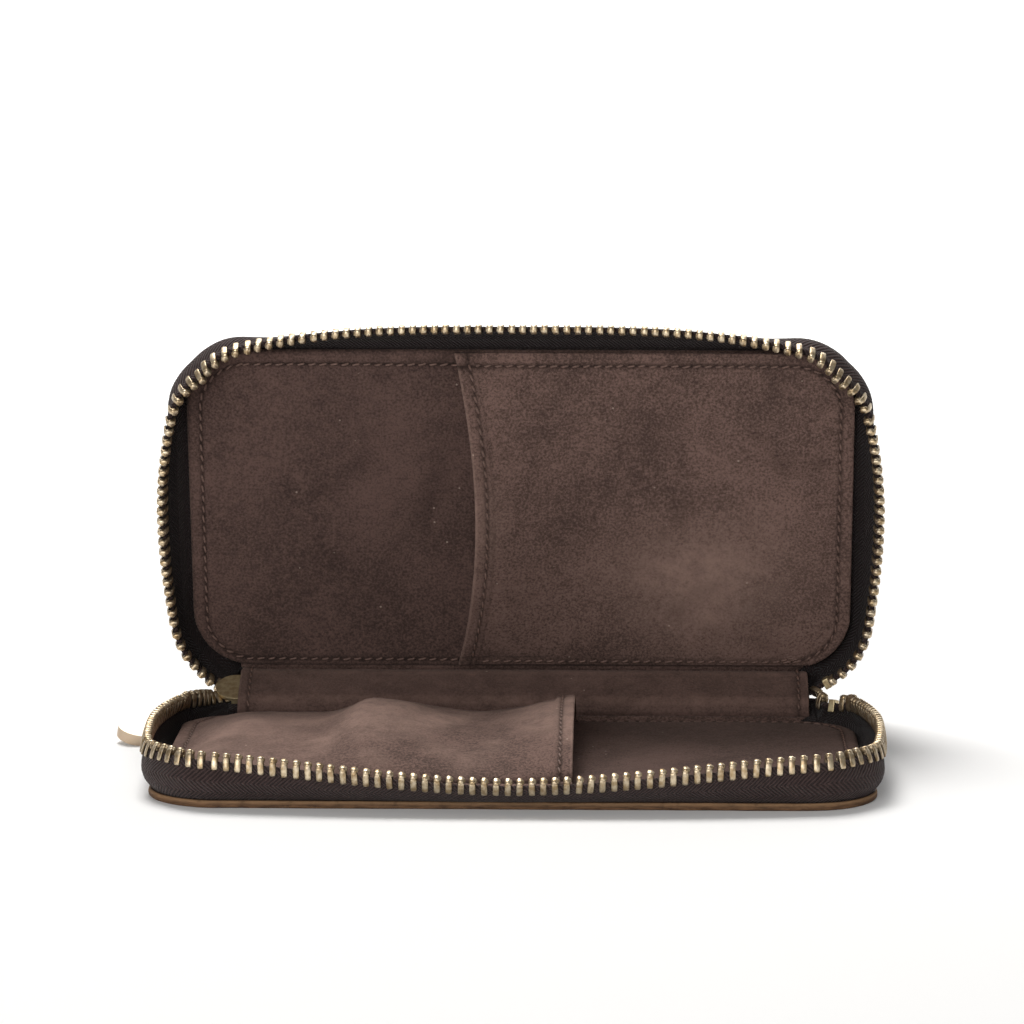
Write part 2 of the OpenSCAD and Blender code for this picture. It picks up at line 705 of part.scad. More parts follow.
// Flat metal tab: a bar inside the bail, an eye round it, and a blade with a round end
module pull_tab() {
    outer = tab_eye_w / 2;
    neck = bar_d / 2 + 0.3 + slot_l;
    color("#c9bb96")
    on_slider()
    translate([bar_x, 0, -bar_at])
    rotate([0, 0, 180 + tab_skew])
    rotate([0, -tab_tilt, 0]) {
        rotate([90, 0, 0])
        cylinder(d = bar_d, h = tab_eye_w - 0.6, center = true);
        for (y = [-1, 1])
            translate([0, y * (outer - (outer - slot_w / 2) / 2), 0])
            cube([bar_d, outer - slot_w / 2, eye_t], center = true);
        translate([0, 0, -eye_t / 2])
        linear_extrude(eye_t)
        difference() {
            translate([0, -outer]) square([neck + 1.6, tab_eye_w]);
            translate([-1, -slot_w / 2]) square([neck + 1, slot_w]);
        }
        translate([0, 0, -tab_t / 2])
        linear_extrude(tab_t) {
            translate([tab_l, 0]) circle(d = tab_end_w, $fn = 64);
            polygon([[neck, outer], [neck + 1.8, outer], [neck + 5, tab_waist_w / 2],
                     [tab_l * 0.62, tab_waist_w / 2], [tab_l, tab_end_w / 2], [tab_l, -tab_end_w / 2],
                     [tab_l * 0.62, -tab_waist_w / 2], [neck + 5, -tab_waist_w / 2],
                     [neck + 1.8, -outer], [neck, -outer]]);
        }
    }
}

base_cover();
base_board();
base_foam();
base_lining();
base_pocket();
base_tape();
base_teeth();
base_top_stop();
spine_leather();
spine_foam();
spine_lining();
tape_tails_left();
tape_tails_right();
chain_end();
bottom_stop();
slider_body();
slider_bail();
pull_tab();
lid_cover();
lid_board();
lid_foam();
lid_lining();
lid_pocket();
lid_tape();
lid_teeth();
lid_top_stop();
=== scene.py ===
# %% [markdown]
# # Dressing a zip-around watch case
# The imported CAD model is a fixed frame: every piece has its place, and five bodies turn or slide.
# This lesson puts leather, suede, woven tape, thread and brass on that frame, piece by piece.
# Lengths are written in millimetres, as a maker would say them, and become metres in one place.

# %% Load the frame
import math
import random

import bmesh
import bpy
from mathutils import Matrix, Vector, noise


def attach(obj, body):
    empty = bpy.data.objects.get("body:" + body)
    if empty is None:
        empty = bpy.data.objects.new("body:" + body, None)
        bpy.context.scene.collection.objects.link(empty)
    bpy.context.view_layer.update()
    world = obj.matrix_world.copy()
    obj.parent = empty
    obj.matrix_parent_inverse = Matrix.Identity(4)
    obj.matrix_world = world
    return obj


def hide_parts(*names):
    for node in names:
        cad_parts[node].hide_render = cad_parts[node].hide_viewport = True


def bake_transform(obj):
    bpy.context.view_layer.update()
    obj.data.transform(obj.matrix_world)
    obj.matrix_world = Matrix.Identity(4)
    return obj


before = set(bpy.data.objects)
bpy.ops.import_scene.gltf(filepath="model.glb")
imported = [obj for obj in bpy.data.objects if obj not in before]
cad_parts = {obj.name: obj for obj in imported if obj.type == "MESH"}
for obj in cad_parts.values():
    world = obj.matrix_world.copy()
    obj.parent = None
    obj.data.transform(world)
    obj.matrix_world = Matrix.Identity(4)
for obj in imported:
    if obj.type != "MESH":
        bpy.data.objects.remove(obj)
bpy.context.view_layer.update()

scene = bpy.context.scene
MM = 0.001

# %% [markdown]
# ## The camera
# The camera's place was fitted to measured points of the photograph: it stands 945 mm away, looks
# 8.5 degrees down and sees a narrow angle, as a product photographer's long lens does.

# %% Camera
YAW, DIP, AWAY = math.radians(-1.46), math.radians(8.48), 944.72
AIM = Vector((-0.69, 0, 55.2))
FOCAL_PIXELS, PICTURE_PIXELS, FILM = 4511.16, 1024, 36
ahead = Vector((math.sin(YAW) * math.cos(DIP), math.cos(YAW) * math.cos(DIP), -math.sin(DIP)))
lens = bpy.data.cameras.new("camera")
lens.sensor_width = FILM
lens.lens = FOCAL_PIXELS / PICTURE_PIXELS * FILM
lens.clip_start = 0.05
camera = bpy.data.objects.new("camera", lens)
camera.location = (AIM - ahead * AWAY) * MM
camera.rotation_euler = ahead.to_track_quat("-Z", "Y").to_euler()
scene.collection.objects.link(camera)
scene.camera = camera
scene.view_settings.view_transform = "Standard"
print("camera at", [round(v, 3) for v in camera.location], "lens", round(lens.lens, 1))

# %% [markdown]
# ## Shader tools
# `Socket` lets a recipe add and multiply node outputs as if they were numbers. `Finish` is a material
# that knows a few maker's words: a cloud of noise, scattered spots, a mark from the mesh, a raised bump.

# %% Shader tools
def colour(hex_code):
    """A colour as written on a screen, turned into the linear values that a shader wants."""
    parts = [int(hex_code[i:i + 2], 16) / 255 for i in (1, 3, 5)]
    return tuple(p / 12.92 if p <= 0.04045 else ((p + 0.055) / 1.055) ** 2.4 for p in parts) + (1.0,)


class Socket:
    """One output of a node. Adding, multiplying and so on add the Math nodes that do it."""

    def __init__(self, finish, socket):
        self.finish, self.socket = finish, socket

    def _math(self, operation, *values):
        return self.finish.node("ShaderNodeMath", {"operation": operation}, dict(enumerate(values)))

    def __add__(self, other): return self._math("ADD", self, other)
    def __radd__(self, other): return self._math("ADD", other, self)
    def __sub__(self, other): return self._math("SUBTRACT", self, other)
    def __rsub__(self, other): return self._math("SUBTRACT", other, self)
    def __mul__(self, other): return self._math("MULTIPLY", self, other)
    def __abs__(self): return self._math("ABSOLUTE", self)
    def __gt__(self, other): return self._math("GREATER_THAN", self, other)
    def sine(self): return self._math("SINE", self)
    def fraction(self): return self._math("FRACT", self)
    def most(self, other): return self._math("MAXIMUM", self, other)
    def least(self, other): return self._math("MINIMUM", self, other)

    def between(self, low, high):
        """0 at low, 1 at high, eased at both ends."""
        return self.finish.node("ShaderNodeMapRange", {"interpolation_type": "SMOOTHSTEP"},
                                {"Value": self, "From Min": low, "From Max": high})


class Finish:
    """A material, with one method that adds any node to it."""

    def __init__(self, name, **constants):
        self.material = bpy.data.materials.new(name)
        self.material.use_nodes = True
        self.tree = self.material.node_tree
        self.shader = self.tree.nodes["Principled BSDF"]
        for key, value in constants.items():
            self.shader.inputs[key.replace("_", " ").title().replace("Ior", "IOR")].default_value = value

    def node(self, kind, settings=None, inputs=None, out=0):
        """Adds a node, makes its settings, fills its sockets, and hands back one output."""
        made = self.tree.nodes.new(kind)
        for key, value in (settings or {}).items():
            setattr(made, key, value)
        for key, value in (inputs or {}).items():
            self.fill(self.find(made.inputs, key), value)
        return Socket(self, self.find(made.outputs, out))

    @staticmethod
    def find(sockets, key):
        if isinstance(key, int):
            return sockets[key]
        return next(s for s in sockets if key in (s.name, s.identifier) and s.enabled)

    def fill(self, socket, value):
        if isinstance(value, Socket):
            self.tree.links.new(value.socket, socket)
        else:
            socket.default_value = value

    def set(self, **values):
        for key, value in values.items():
            self.fill(self.shader.inputs[key.replace("_", " ")], value)
        return self

    def place(self):
        """The point of the piece in its own frame, in metres."""
        return self.node("ShaderNodeTexCoord", out="Object")

    def axis(self, vector, letter):
        return self.node("ShaderNodeSeparateXYZ", None, {"Vector": vector}, letter)

    def cloud(self, scale, detail=2.0, rough=0.5, where=None):
        """Soft noise whose patches are 1/scale metres across."""
        return self.node("ShaderNodeTexNoise", None,
                         {"Vector": where or self.place(), "Scale": scale, "Detail": detail,
                          "Roughness": rough}, "Fac")

    def spots(self, scale):
        """Distance to the nearest of many scattered points."""
        return self.node("ShaderNodeTexVoronoi", None, {"Vector": self.place(), "Scale": scale}, "Distance")

    def mark(self, name, out="Fac"):
        """A value that the mesh carries from point to point."""
        return self.node("ShaderNodeAttribute", {"attribute_name": name}, None, out)

    def blend(self, share, first, second, mode="MIX"):
        return self.node("ShaderNodeMix", {"data_type": "RGBA", "blend_type": mode},
                         {"Factor_Float": share, "A_Color": first, "B_Color": second}, "Result_Color")

    def raised(self, height, distance, strength=1.0, under=None):
        """A bump of that many metres, over the one below it."""
        inputs = {"Height": height, "Distance": distance, "Strength": strength}
        if under is not None:
            inputs["Normal"] = under
        return self.node("ShaderNodeBump", None, inputs, "Normal")

# %% [markdown]
# ## The studio
# A pale floor runs up behind the case. Three wide soft lamps and a pale sky light it at a plain level.
# The floor glows a little for the camera alone, so that it reads as white paper and still takes the
# case's shadow.

# %% Floor
def glow_for_camera(finish, tint, power):
    """Adds light that only the camera and mirrors see. The power may vary from place to place."""
    ray = finish.node("ShaderNodeLightPath", out="Is Camera Ray")
    mirror = finish.node("ShaderNodeLightPath", out="Is Glossy Ray")
    glow = finish.node("ShaderNodeEmission", None, {"Color": tint, "Strength": ray.most(mirror) * power},
                       "Emission")
    both = finish.node("ShaderNodeAddShader", None, {0: glow}, 0)
    finish.tree.links.new(finish.shader.outputs[0], both.socket.node.inputs[1])
    output = next(n for n in finish.tree.nodes if n.type == "OUTPUT_MATERIAL")
    finish.tree.links.new(both.socket, output.inputs["Surface"])


paper = Finish("white_paper", roughness=0.95, specular_ior_level=0.1)
paper.set(Base_Color=paper.blend(paper.cloud(3.0), (0.8, 0.8, 0.8, 1), (0.82, 0.82, 0.82, 1)))
from_middle = paper.node("ShaderNodeVectorMath", {"operation": "LENGTH"}, {0: paper.place()}, "Value")
glow_for_camera(paper, (1, 1, 1, 1), 0.07 + from_middle.between(0.25, 1.3) * 0.6)

FLOOR_HALF_WIDTH = 2.2
sweep = [(-1.6, 0.0), (0.9, 0.0), (1.15, 0.03), (1.38, 0.13), (1.5, 0.32), (1.55, 0.6), (1.55, 2.2)]
floor_mesh = bpy.data.meshes.new("floor")
floor_mesh.from_pydata([(x, y, z) for y, z in sweep for x in (-FLOOR_HALF_WIDTH, FLOOR_HALF_WIDTH)], [],
                       [(2 * i, 2 * i + 1, 2 * i + 3, 2 * i + 2) for i in range(len(sweep) - 1)])
floor = bpy.data.objects.new("floor", floor_mesh)
floor_mesh.materials.append(paper.material)
for polygon in floor_mesh.polygons:
    polygon.use_smooth = True
scene.collection.objects.link(floor)
print("floor:", len(floor_mesh.polygons), "faces")

# %% [markdown]
# The sky is dim as a light and white to the camera.

# %% Sky and lamps
SKY_LIGHT, SKY_SEEN = 0.2, 1.0
world = bpy.data.worlds.new("sky")
scene.world = world
world.use_nodes = True
sky = world.node_tree.nodes["Background"]
sky.inputs["Color"].default_value = (1.0, 0.99, 0.98, 1)
seen = world.node_tree.nodes.new("ShaderNodeLightPath")
power = world.node_tree.nodes.new("ShaderNodeMapRange")
power.inputs["To Min"].default_value, power.inputs["To Max"].default_value = SKY_LIGHT, SKY_SEEN
world.node_tree.links.new(seen.outputs["Is Camera Ray"], power.inputs["Value"])
world.node_tree.links.new(power.outputs["Result"], sky.inputs["Strength"])


def lamp(name, spot, size, watts, tint=(1, 1, 1)):
    """A wide soft lamp that faces the case."""
    data = bpy.data.lights.new(name, "AREA")
    data.size, data.energy, data.color = size, watts, tint
    made = bpy.data.objects.new(name, data)
    made.location = spot
    made.rotation_euler = (Vector((0, 0.02, 0.03)) - Vector(spot)).to_track_quat("-Z", "Y").to_euler()
    scene.collection.objects.link(made)


lamp("key_lamp", (-0.2, 0.45, 1.1), 0.55, 14.5, (1.0, 0.985, 0.96))
lamp("front_lamp", (-0.35, -1.35, 0.4), 0.9, 10.5, (1.0, 0.99, 0.98))
lamp("back_lamp", (0.2, 1.0, 0.7), 0.6, 3.0)
print("studio: sky and", len(bpy.data.lights), "lamps")

# %% [markdown]
# ## Measures and places
# These are the CAD model's own values. Each half has the same frame: its free edge at -Y, its fold at
# +Y and the inside up. `LID` turns that frame into the open lid's place, and `SPINE` starts at the
# base's fold and runs up to the lid's.

# %% Measures
CASE_W, CASE_D, CORNER, COVER_T = 150.0, 78.5, 15.0, 1.6
LINING_INSET, LINING_Z, SEAM_Z, SUEDE_T = 1.9, 3.8, 1.9, 0.8
FOLD_Y, FOLD_Z, SPINE_W, SLOPE, OPEN = 39.65, 0.8, 22.8, math.radians(24), math.radians(77)
SPINE_HALF, LINING_END, MID, CHAIN_Z = 64.0, 63.6, 11.4, 1.4
WALL_H, CURL, CORD_R, TAPE_T, PITCH, TOOTH_L = 8.2, math.radians(56), 0.6, 0.7, 2.38, 3.7
TOOTH_FOOT = WALL_H - 1.2
PATH_X, PATH_Y, PATH_R = CASE_W / 2 - 1.2, CASE_D / 2 - 1.2, CORNER - 1.2
RUN_X, RUN_Y, ARC = PATH_X - PATH_R, PATH_Y - PATH_R, PATH_R * math.pi / 2
AT_ARC, AT_SIDE = RUN_X, RUN_X + ARC
AT_REAR = AT_SIDE + 2 * RUN_Y
MID_CORNER, MID_SIDE, LOW_CORNER = AT_ARC + ARC / 2, AT_SIDE + RUN_Y, AT_REAR + 0.15 * ARC
CLEAR_END = AT_REAR + 0.7 * PATH_R
FULL_END = AT_REAR + PATH_R * math.acos((SPINE_HALF + 2 - RUN_X) / PATH_R)
# Lean in degrees at the front, front corner, side, rear corner and end; how long the front's lean
# holds; how far the wall sinks towards its end; how far it bulges at the front corners.
BASE_WALL = {"lean": (62, 5, 22, 2, 42), "hold": 0.9, "sink": 1.8, "belly": 0.6}
LID_WALL = {"lean": (46, -4, 37, 20, 17), "hold": 1.7, "sink": 0.0, "belly": 1.1}


def turn_x(angle):
    return Matrix.Rotation(angle, 4, "X")


def move(x, y, z):
    return Matrix.Translation((x * MM, y * MM, z * MM))


TOP_FOLD = (0, FOLD_Y + SPINE_W * math.cos(SLOPE), FOLD_Z + SPINE_W * math.sin(SLOPE))
BASE = Matrix.Identity(4)
SPINE = move(0, FOLD_Y, FOLD_Z) @ turn_x(SLOPE)
LID = move(*TOP_FOLD) @ turn_x(math.pi - OPEN) @ move(0, FOLD_Y, -FOLD_Z) @ Matrix.Rotation(math.pi, 4, "Z")
PLACES = {"base": BASE, "spine": SPINE, "lid": LID}
HALVES = ("base", "lid")


def in_base(part, point):
    """A point of a part's own frame, carried to the base's frame, still in millimetres."""
    return (PLACES[part] @ (Vector(point) * MM)) / MM


print("wall path:", round(CLEAR_END + FULL_END, 1), "mm")

# %% [markdown]
# ## The zip's wall
# The tape follows the case's outline and curls as it rises. A point on it is given by `s` along the
# row from the middle of the free edge, `w` up the wall and `q` out of it.

# %% Wall
def ease(t):
    t = min(1.0, max(0.0, t))
    return t * t * (3 - 2 * t)


def bell(distance, width):
    return math.exp(-(distance / width) ** 2)


def path_at(s):
    """Point and heading on the zip's path, s millimetres from the middle of the free edge."""
    a, g = abs(s), -1 if s < 0 else 1
    f, r = (a - AT_ARC) / PATH_R, (a - AT_REAR) / PATH_R
    if a < AT_ARC:
        return s, -PATH_Y, 0.0
    if a < AT_SIDE:
        return g * (RUN_X + PATH_R * math.sin(f)), -RUN_Y - PATH_R * math.cos(f), g * f
    if a < AT_REAR:
        return g * PATH_X, a - AT_SIDE - RUN_Y, g * math.pi / 2
    return g * (RUN_X + PATH_R * math.cos(r)), RUN_Y + PATH_R * math.sin(r), g * (math.pi / 2 + r)


def lean_at(s, wall):
    a, quarter = abs(s), math.pi / 2
    front, corner, side, rear, end = wall["lean"]
    if a < MID_CORNER:
        degrees = corner + (front - corner) * math.cos(quarter * (a / MID_CORNER) ** wall["hold"])
    elif a < MID_SIDE:
        degrees = corner + (side - corner) * math.sin(quarter * (a - MID_CORNER) / (MID_SIDE - MID_CORNER))
    elif a < LOW_CORNER:
        degrees = rear + (side - rear) * math.cos(quarter * (a - MID_SIDE) / (LOW_CORNER - MID_SIDE))
    else:
        degrees = rear + (end - rear) * ease((a - LOW_CORNER) / (FULL_END - LOW_CORNER))
    return math.radians(degrees)


def top_at(s, wall):
    return WALL_H - wall["sink"] * ease((abs(s) - MID_SIDE) / (FULL_END - MID_SIDE))


def upward(lean, turn):
    return Vector((math.sin(lean) * math.sin(turn), -math.sin(lean) * math.cos(turn), math.cos(lean)))


def outward(lean, turn):
    return Vector((math.cos(lean) * math.sin(turn), -math.cos(lean) * math.cos(turn), -math.sin(lean)))


def level_out(turn):
    return Vector((math.sin(turn), -math.cos(turn), 0))


def wall_at(s, w, q, wall):
    """Point on the zip wall: w up it from the seam and q out of it."""
    x, y, turn = path_at(s)
    top = top_at(s, wall)
    bend, a0 = top / CURL, lean_at(s, wall) + CURL / 2
    a1 = a0 - CURL * min(w, top) / top
    point = Vector((x, y, SEAM_Z)) + bend * (math.cos(a1) - math.cos(a0)) * level_out(turn)
    point.z += bend * (math.sin(a0) - math.sin(a1))
    return point + max(0, w - top) * upward(a1, turn) + q * outward(a1, turn)


print("front tooth tip at", [round(v, 1) for v in wall_at(0, WALL_H, 0, BASE_WALL)])

# %% [markdown]
# ## Making a mesh piece
# Nearly every piece is a loft: rings of points, joined by faces.

# %% Making
def loft(rings):
    """Faces through rings of equal length, closed at both ends."""
    n, m, faces = len(rings[0]), len(rings), []
    for i in range(m - 1):
        for j in range(n):
            k, over = (j + 1) % n, (i + 1) * n
            faces.append((i * n + j, i * n + k, over + k, over + j))
    faces += [tuple(reversed(range(n))), tuple(range((m - 1) * n, m * n))]
    return [p for ring in rings for p in ring], faces


def joined(shapes):
    points, faces = [], []
    for p, f in shapes:
        faces += [tuple(i + len(points) for i in face) for face in f]
        points += p
    return points, faces


def make(name, shape, part, finish, marks=None, ride=True):
    """A mesh piece from points in millimetres, in the frame of the part that it belongs to."""
    points, faces = shape
    mesh = bpy.data.meshes.new(name)
    mesh.from_pydata([Vector(p) * MM for p in points], [], faces)
    work = bmesh.new()
    work.from_mesh(mesh)
    bmesh.ops.recalc_face_normals(work, faces=work.faces)
    work.to_mesh(mesh)
    work.free()
    for mark, values in (marks or {}).items():
        if hasattr(values[0], "__len__"):
            layer = mesh.attributes.new(mark, "FLOAT_VECTOR", "POINT")
            layer.data.foreach_set("vector", [c for v in values for c in v])
        else:
            layer = mesh.attributes.new(mark, "FLOAT", "POINT")
            layer.data.foreach_set("value", values)
    mesh.polygons.foreach_set("use_smooth", [True] * len(mesh.polygons))
    mesh.materials.append(finish.material)
    made = bpy.data.objects.new(name, mesh)
    made.matrix_world = PLACES[part]
    scene.collection.objects.link(made)
    if ride:
        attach(made, part)
    return made


def ripple(x, y, z, size):
    """Soft noise from -1 to 1 whose waves are size millimetres long."""
    return noise.noise(Vector((x, y, z)) / size)


def paces(points, first, pitch):
    """Stops a pitch apart along a line of points: each is (segment, share along it)."""
    run, want = 0.0, first
    for i, (a, b) in enumerate(zip(points, points[1:])):
        step = (b - a).length
        while step > 0 and run + step >= want:
            yield i, (want - run) / step
            want += pitch
        run += step


def tell(what, pieces):
    print(what + ":", [p.name for p in pieces])

# %% [markdown]
# ## Finishes
# Each finish is a small recipe: a colour that varies, a roughness, and a bump of true size. Marks that
# the meshes carry say where leather is raw, where suede is rubbed and painted lighter as light, where
# its seams are painted dark as shade, and where metal is worn and painted dark as shade.

# %% Suede and leather
def suede_finish(name, dark, light, wear_and_painted_light):
    made = Finish(name, roughness=0.93, sheen_weight=0.1, sheen_roughness=0.5,
                  sheen_tint=(0.9, 0.7, 0.6, 1), specular_ior_level=0.15)
    wide, middling, fine = made.cloud(48, 2, 0.5), made.cloud(280, 4, 0.65), made.cloud(1900, 2, 0.75)
    tone = (wide * 0.24 + middling * 0.18 + fine * 0.58).between(0.37, 0.63)
    shade = made.blend(tone, colour(dark), colour(light))
    # Rubbed nap and painted light both turn the suede paler here.
    rub_and_painted_light = (made.mark("wear_and_painted_light") * (made.cloud(300, 5, 0.7).between(0.25, 0.75) * 0.7 + 0.3)).least(1)
    shade = made.blend(rub_and_painted_light, shade, colour(wear_and_painted_light))
    stain = made.cloud(75, 3, 0.6).between(0.56, 0.72) * 0.22
    shade = made.blend(stain, shade, colour(dark), "MULTIPLY")
    lint = (1 - made.spots(210.0).between(0.035, 0.06)) * (made.cloud(70, 1) > 0.53)
    shade = made.blend(lint * 0.5, shade, colour("#b9a596"))
    # The seams' grooves are painted dark as shade.
    shade = made.blend(made.mark("seam"), shade, colour("#150f0d"))
    nap = made.raised(middling, 0.0006, 0.5, made.raised(fine, 0.0003, 0.7))
    return made.set(Base_Color=shade, Roughness=0.88 + tone * 0.08, Normal=nap)


def leather_finish():
    """Dark oiled skin, and a paler raw edge whose upper lip is the palest."""
    made = Finish("oiled_leather", roughness=0.6, specular_ior_level=0.35)
    wide, grain = made.cloud(30, 4, 0.6), made.cloud(1500, 3, 0.6)
    tone = (wide * 0.5 + made.cloud(300, 4, 0.7) * 0.5).between(0.3, 0.7)
    skin = made.blend(tone, colour("#33241b"), colour("#4d382a"))
    layers = made.node("ShaderNodeMapping", None, {"Vector": made.place(), "Scale": (260, 260, 2600)},
                       "Vector")
    strand = made.cloud(1.0, 4, 0.7, layers).between(0.3, 0.7)
    raw = made.blend(strand, colour("#4a3524"), colour("#7d5c40"))
    lip = made.axis(made.place(), "Z").between(0.0007, 0.0014)
    raw = made.blend(lip * 0.55, raw, colour("#a5825f"))
    raw = made.blend(made.cloud(420, 4, 0.7).between(0.5, 0.75) * 0.5, raw, colour("#33241a"))
    shade = made.blend(made.mark("raw").between(0.3, 0.7), skin, raw)
    bump = made.raised(grain + made.spots(900.0) * 0.6, 0.0002, 0.4)
    return made.set(Base_Color=shade, Roughness=0.5 + wide * 0.2 + made.mark("raw") * 0.2, Normal=bump)


lining_suede = suede_finish("suede_lining", "#3a2d29", "#624d47", "#856b61")
pocket_suede = suede_finish("suede_pocket", "#463732", "#786058", "#957b70")
leather = leather_finish()

# %% [markdown]
# The tape's herringbone is drawn from the mark `weave`, which holds the millimetres along the row and up
# the wall, and 1 on the outer face; the inner face, at 0, is painted nearly black as shade. Thread is
# painted dark at its holes as shade and lighter on top as a painted highlight.

# %% Tape and thread
HERRINGBONE, RIB, PLY_UP, PLY_ALONG = 4.8, 0.88, 0.3, 0.6


def tape_finish():
    made = Finish("zip_tape", roughness=0.85, sheen_weight=0.08, sheen_roughness=0.4, specular_ior_level=0.3)
    along, up, outside = [made.axis(made.mark("weave", "Vector"), letter) for letter in "XYZ"]
    zig = abs((up * (1 / HERRINGBONE)).fraction() - 0.5) * 2
    rib = ((along * (1 / RIB) + zig * 2.7 + made.cloud(500) * 0.25) * math.tau).sine() * 0.5 + 0.5
    ply = ((up * (1 / PLY_UP) + along * (1 / PLY_ALONG)) * math.tau).sine() * 0.5 + 0.5
    shade = made.blend(rib.between(0.1, 1.0), colour("#241918"), colour("#423230"))
    shade = made.blend(made.cloud(1400, 3).between(0.45, 0.75) * 0.3, shade, colour("#5b4845"))
    # The inner face is painted nearly black as shade.
    shade = made.blend((1 - outside) * 0.85, shade, colour("#150b0b"))
    bump = made.raised(ply, 0.00008, 0.6, made.raised(rib, 0.00022, 1.0))
    return made.set(Base_Color=shade, Normal=bump)


def thread_finish():
    made = Finish("thread", roughness=0.6)
    twist = made.cloud(2600, 2)
    # Painted light: dark at the holes as shade and lighter on top as a highlight, with a little twist.
    painted_light = (made.mark("painted_light") * 0.6 + twist.between(0.3, 0.7) * 0.4).least(1)
    return made.set(Base_Color=made.blend(painted_light, colour("#0f0807"), colour("#7d6156")),
                    Normal=made.raised(twist, 0.0001, 0.6))


tape, thread = tape_finish(), thread_finish()

# %% [markdown]
# Metal is bright where it is rubbed. Its dark corners are patina, and painted shade on the teeth's
# flanks and the pull's rim. Board and foam are hidden and plain.

# %% Metal, board and foam
def brass_finish(name, deep, gold, bright, rough, metal=0.95, patch=900):
    made = Finish(name, metallic=0.9, specular_ior_level=0.5)
    mottle = made.cloud(patch, 2, 0.5)
    shade = made.blend(mottle.between(0.3, 0.7), colour(gold), colour(bright))
    # Patina in hollows and painted shade both pull the metal towards the deep colour.
    patina_and_shade = ((1 - made.mark("wear_and_shade")) * (0.75 + made.cloud(patch * 2.5, 2) * 0.3)).least(1).most(0)
    shade = made.blend(patina_and_shade, shade, colour(deep))
    bump = made.raised(made.cloud(patch * 3, 2), 0.00003, 0.3)
    return made.set(Base_Color=shade, Roughness=rough + mottle * 0.15, Normal=bump,
                    Metallic=metal - patina_and_shade * 0.35)


def plain_finish(name, dark, light, scale, rough):
    made = Finish(name, roughness=rough)
    tone = made.cloud(scale, 4, 0.6)
    return made.set(Base_Color=made.blend(tone.between(0.3, 0.7), colour(dark), colour(light)),
                    Normal=made.raised(tone, 0.0003, 0.6))


brass = brass_finish("antique_brass", "#3a2a1c", "#b49b76", "#e6d5b8", 0.32)
slider_brass = brass_finish("olive_brass", "#3a2b1a", "#c2ab84", "#e0cfa4", 0.34, 0.75)
# The pale brass's deep colour is the painted shade on the pull's rim.
tab_brass = brass_finish("pale_brass", "#a07c50", "#dccdb9", "#e6dacb", 0.3, 0.8, 160)
board = plain_finish("board", "#8d8371", "#a2988a", 600, 0.9)
foam = plain_finish("foam", "#2c2826", "#423c39", 1500, 0.95)
print("finishes:", len(bpy.data.materials))

# %% [markdown]
# ## Leather covers
# A cover is lofted through rounded-rectangle rings, from the middle of its underside, round its raw
# edge, to the middle of its upper side. The edge is a little uneven, as a knife leaves it.

# %% Covers
def rounded(half_x, half_y, radius, count=(46, 18, 12)):
    """Points round a rounded rectangle, always the same number of them."""
    radius = max(0.3, min(radius, half_x - 0.2, half_y - 0.2))
    arcs = []
    for k, (sx, sy) in enumerate(((1, -1), (1, 1), (-1, 1), (-1, -1))):
        cx, cy = sx * (half_x - radius), sy * (half_y - radius)
        angles = [math.pi / 2 * (k - 1 + i / count[2]) for i in range(count[2] + 1)]
        arcs.append([(cx + radius * math.cos(a), cy + radius * math.sin(a)) for a in angles])
    points = []
    for k, arc in enumerate(arcs):
        (x0, y0), (x1, y1) = arc[-1], arcs[(k + 1) % 4][0]
        n = count[1] if k % 2 == 0 else count[0]
        points += arc + [(x0 + (x1 - x0) * i / n, y0 + (y1 - y0) * i / n) for i in range(1, n)]
    return points


def panel(profile, height=lambda x, y, z: z):
    """Rings of a half's outline, each drawn in by an inset at a height."""
    return [[(x, y, height(x, y, z)) for x, y in
             rounded(CASE_W / 2 - inset, CASE_D / 2 - inset, CORNER - inset)] for inset, z in profile]


COVER_PROFILE = [(38, 0), (30, 0), (20, 0), (12, 0), (7, 0), (5.6, 0.0), (5.3, 0.03), (5.1, 0.14),
                 (4.9, 0.03), (4.6, 0), (2, 0), (0.7, 0.0), (0.3, 0.05), (0.08, 0.22), (0, 0.5),
                 (0, 0.8), (0, 1.1), (0.06, 1.38), (0.25, 1.54), (0.55, COVER_T), (1.6, COVER_T),
                 (4, COVER_T), (10, COVER_T), (38, COVER_T)]


def knife_cut(x, y, z):
    """A point of the cover's edge, moved as far as a knife strays."""
    return (x + 0.16 * ripple(x, y, 3, 9) * (abs(x) > 60),
            y + (0.18 * ripple(x, y, 7, 7) + 0.06 * ripple(x, y, z, 2)) * (abs(y) > 30),
            z + 0.12 * ripple(x, y, z, 5) * (0.1 < z < 1.59))


def cover(part):
    rings, raw = [], []
    for ring, (inset, z) in zip(panel(COVER_PROFILE), COVER_PROFILE):
        rings.append([knife_cut(*p) for p in ring] if inset < 2 else ring)
        raw += [float(inset < 0.4 and 0.04 < z < 1.56)] * len(ring)
    made = make(part + "_cover_leather", loft(rings), part, leather, {"raw": raw})
    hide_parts(part + "_cover")
    return made


covers = {part: cover(part) for part in HALVES}
tell("covers", covers.values())

# %% [markdown]
# ## Foam and suede linings
# The lining rolls over its foam at the edge, and its seam pulls it down in a soft groove, which is painted
# dark as shade.

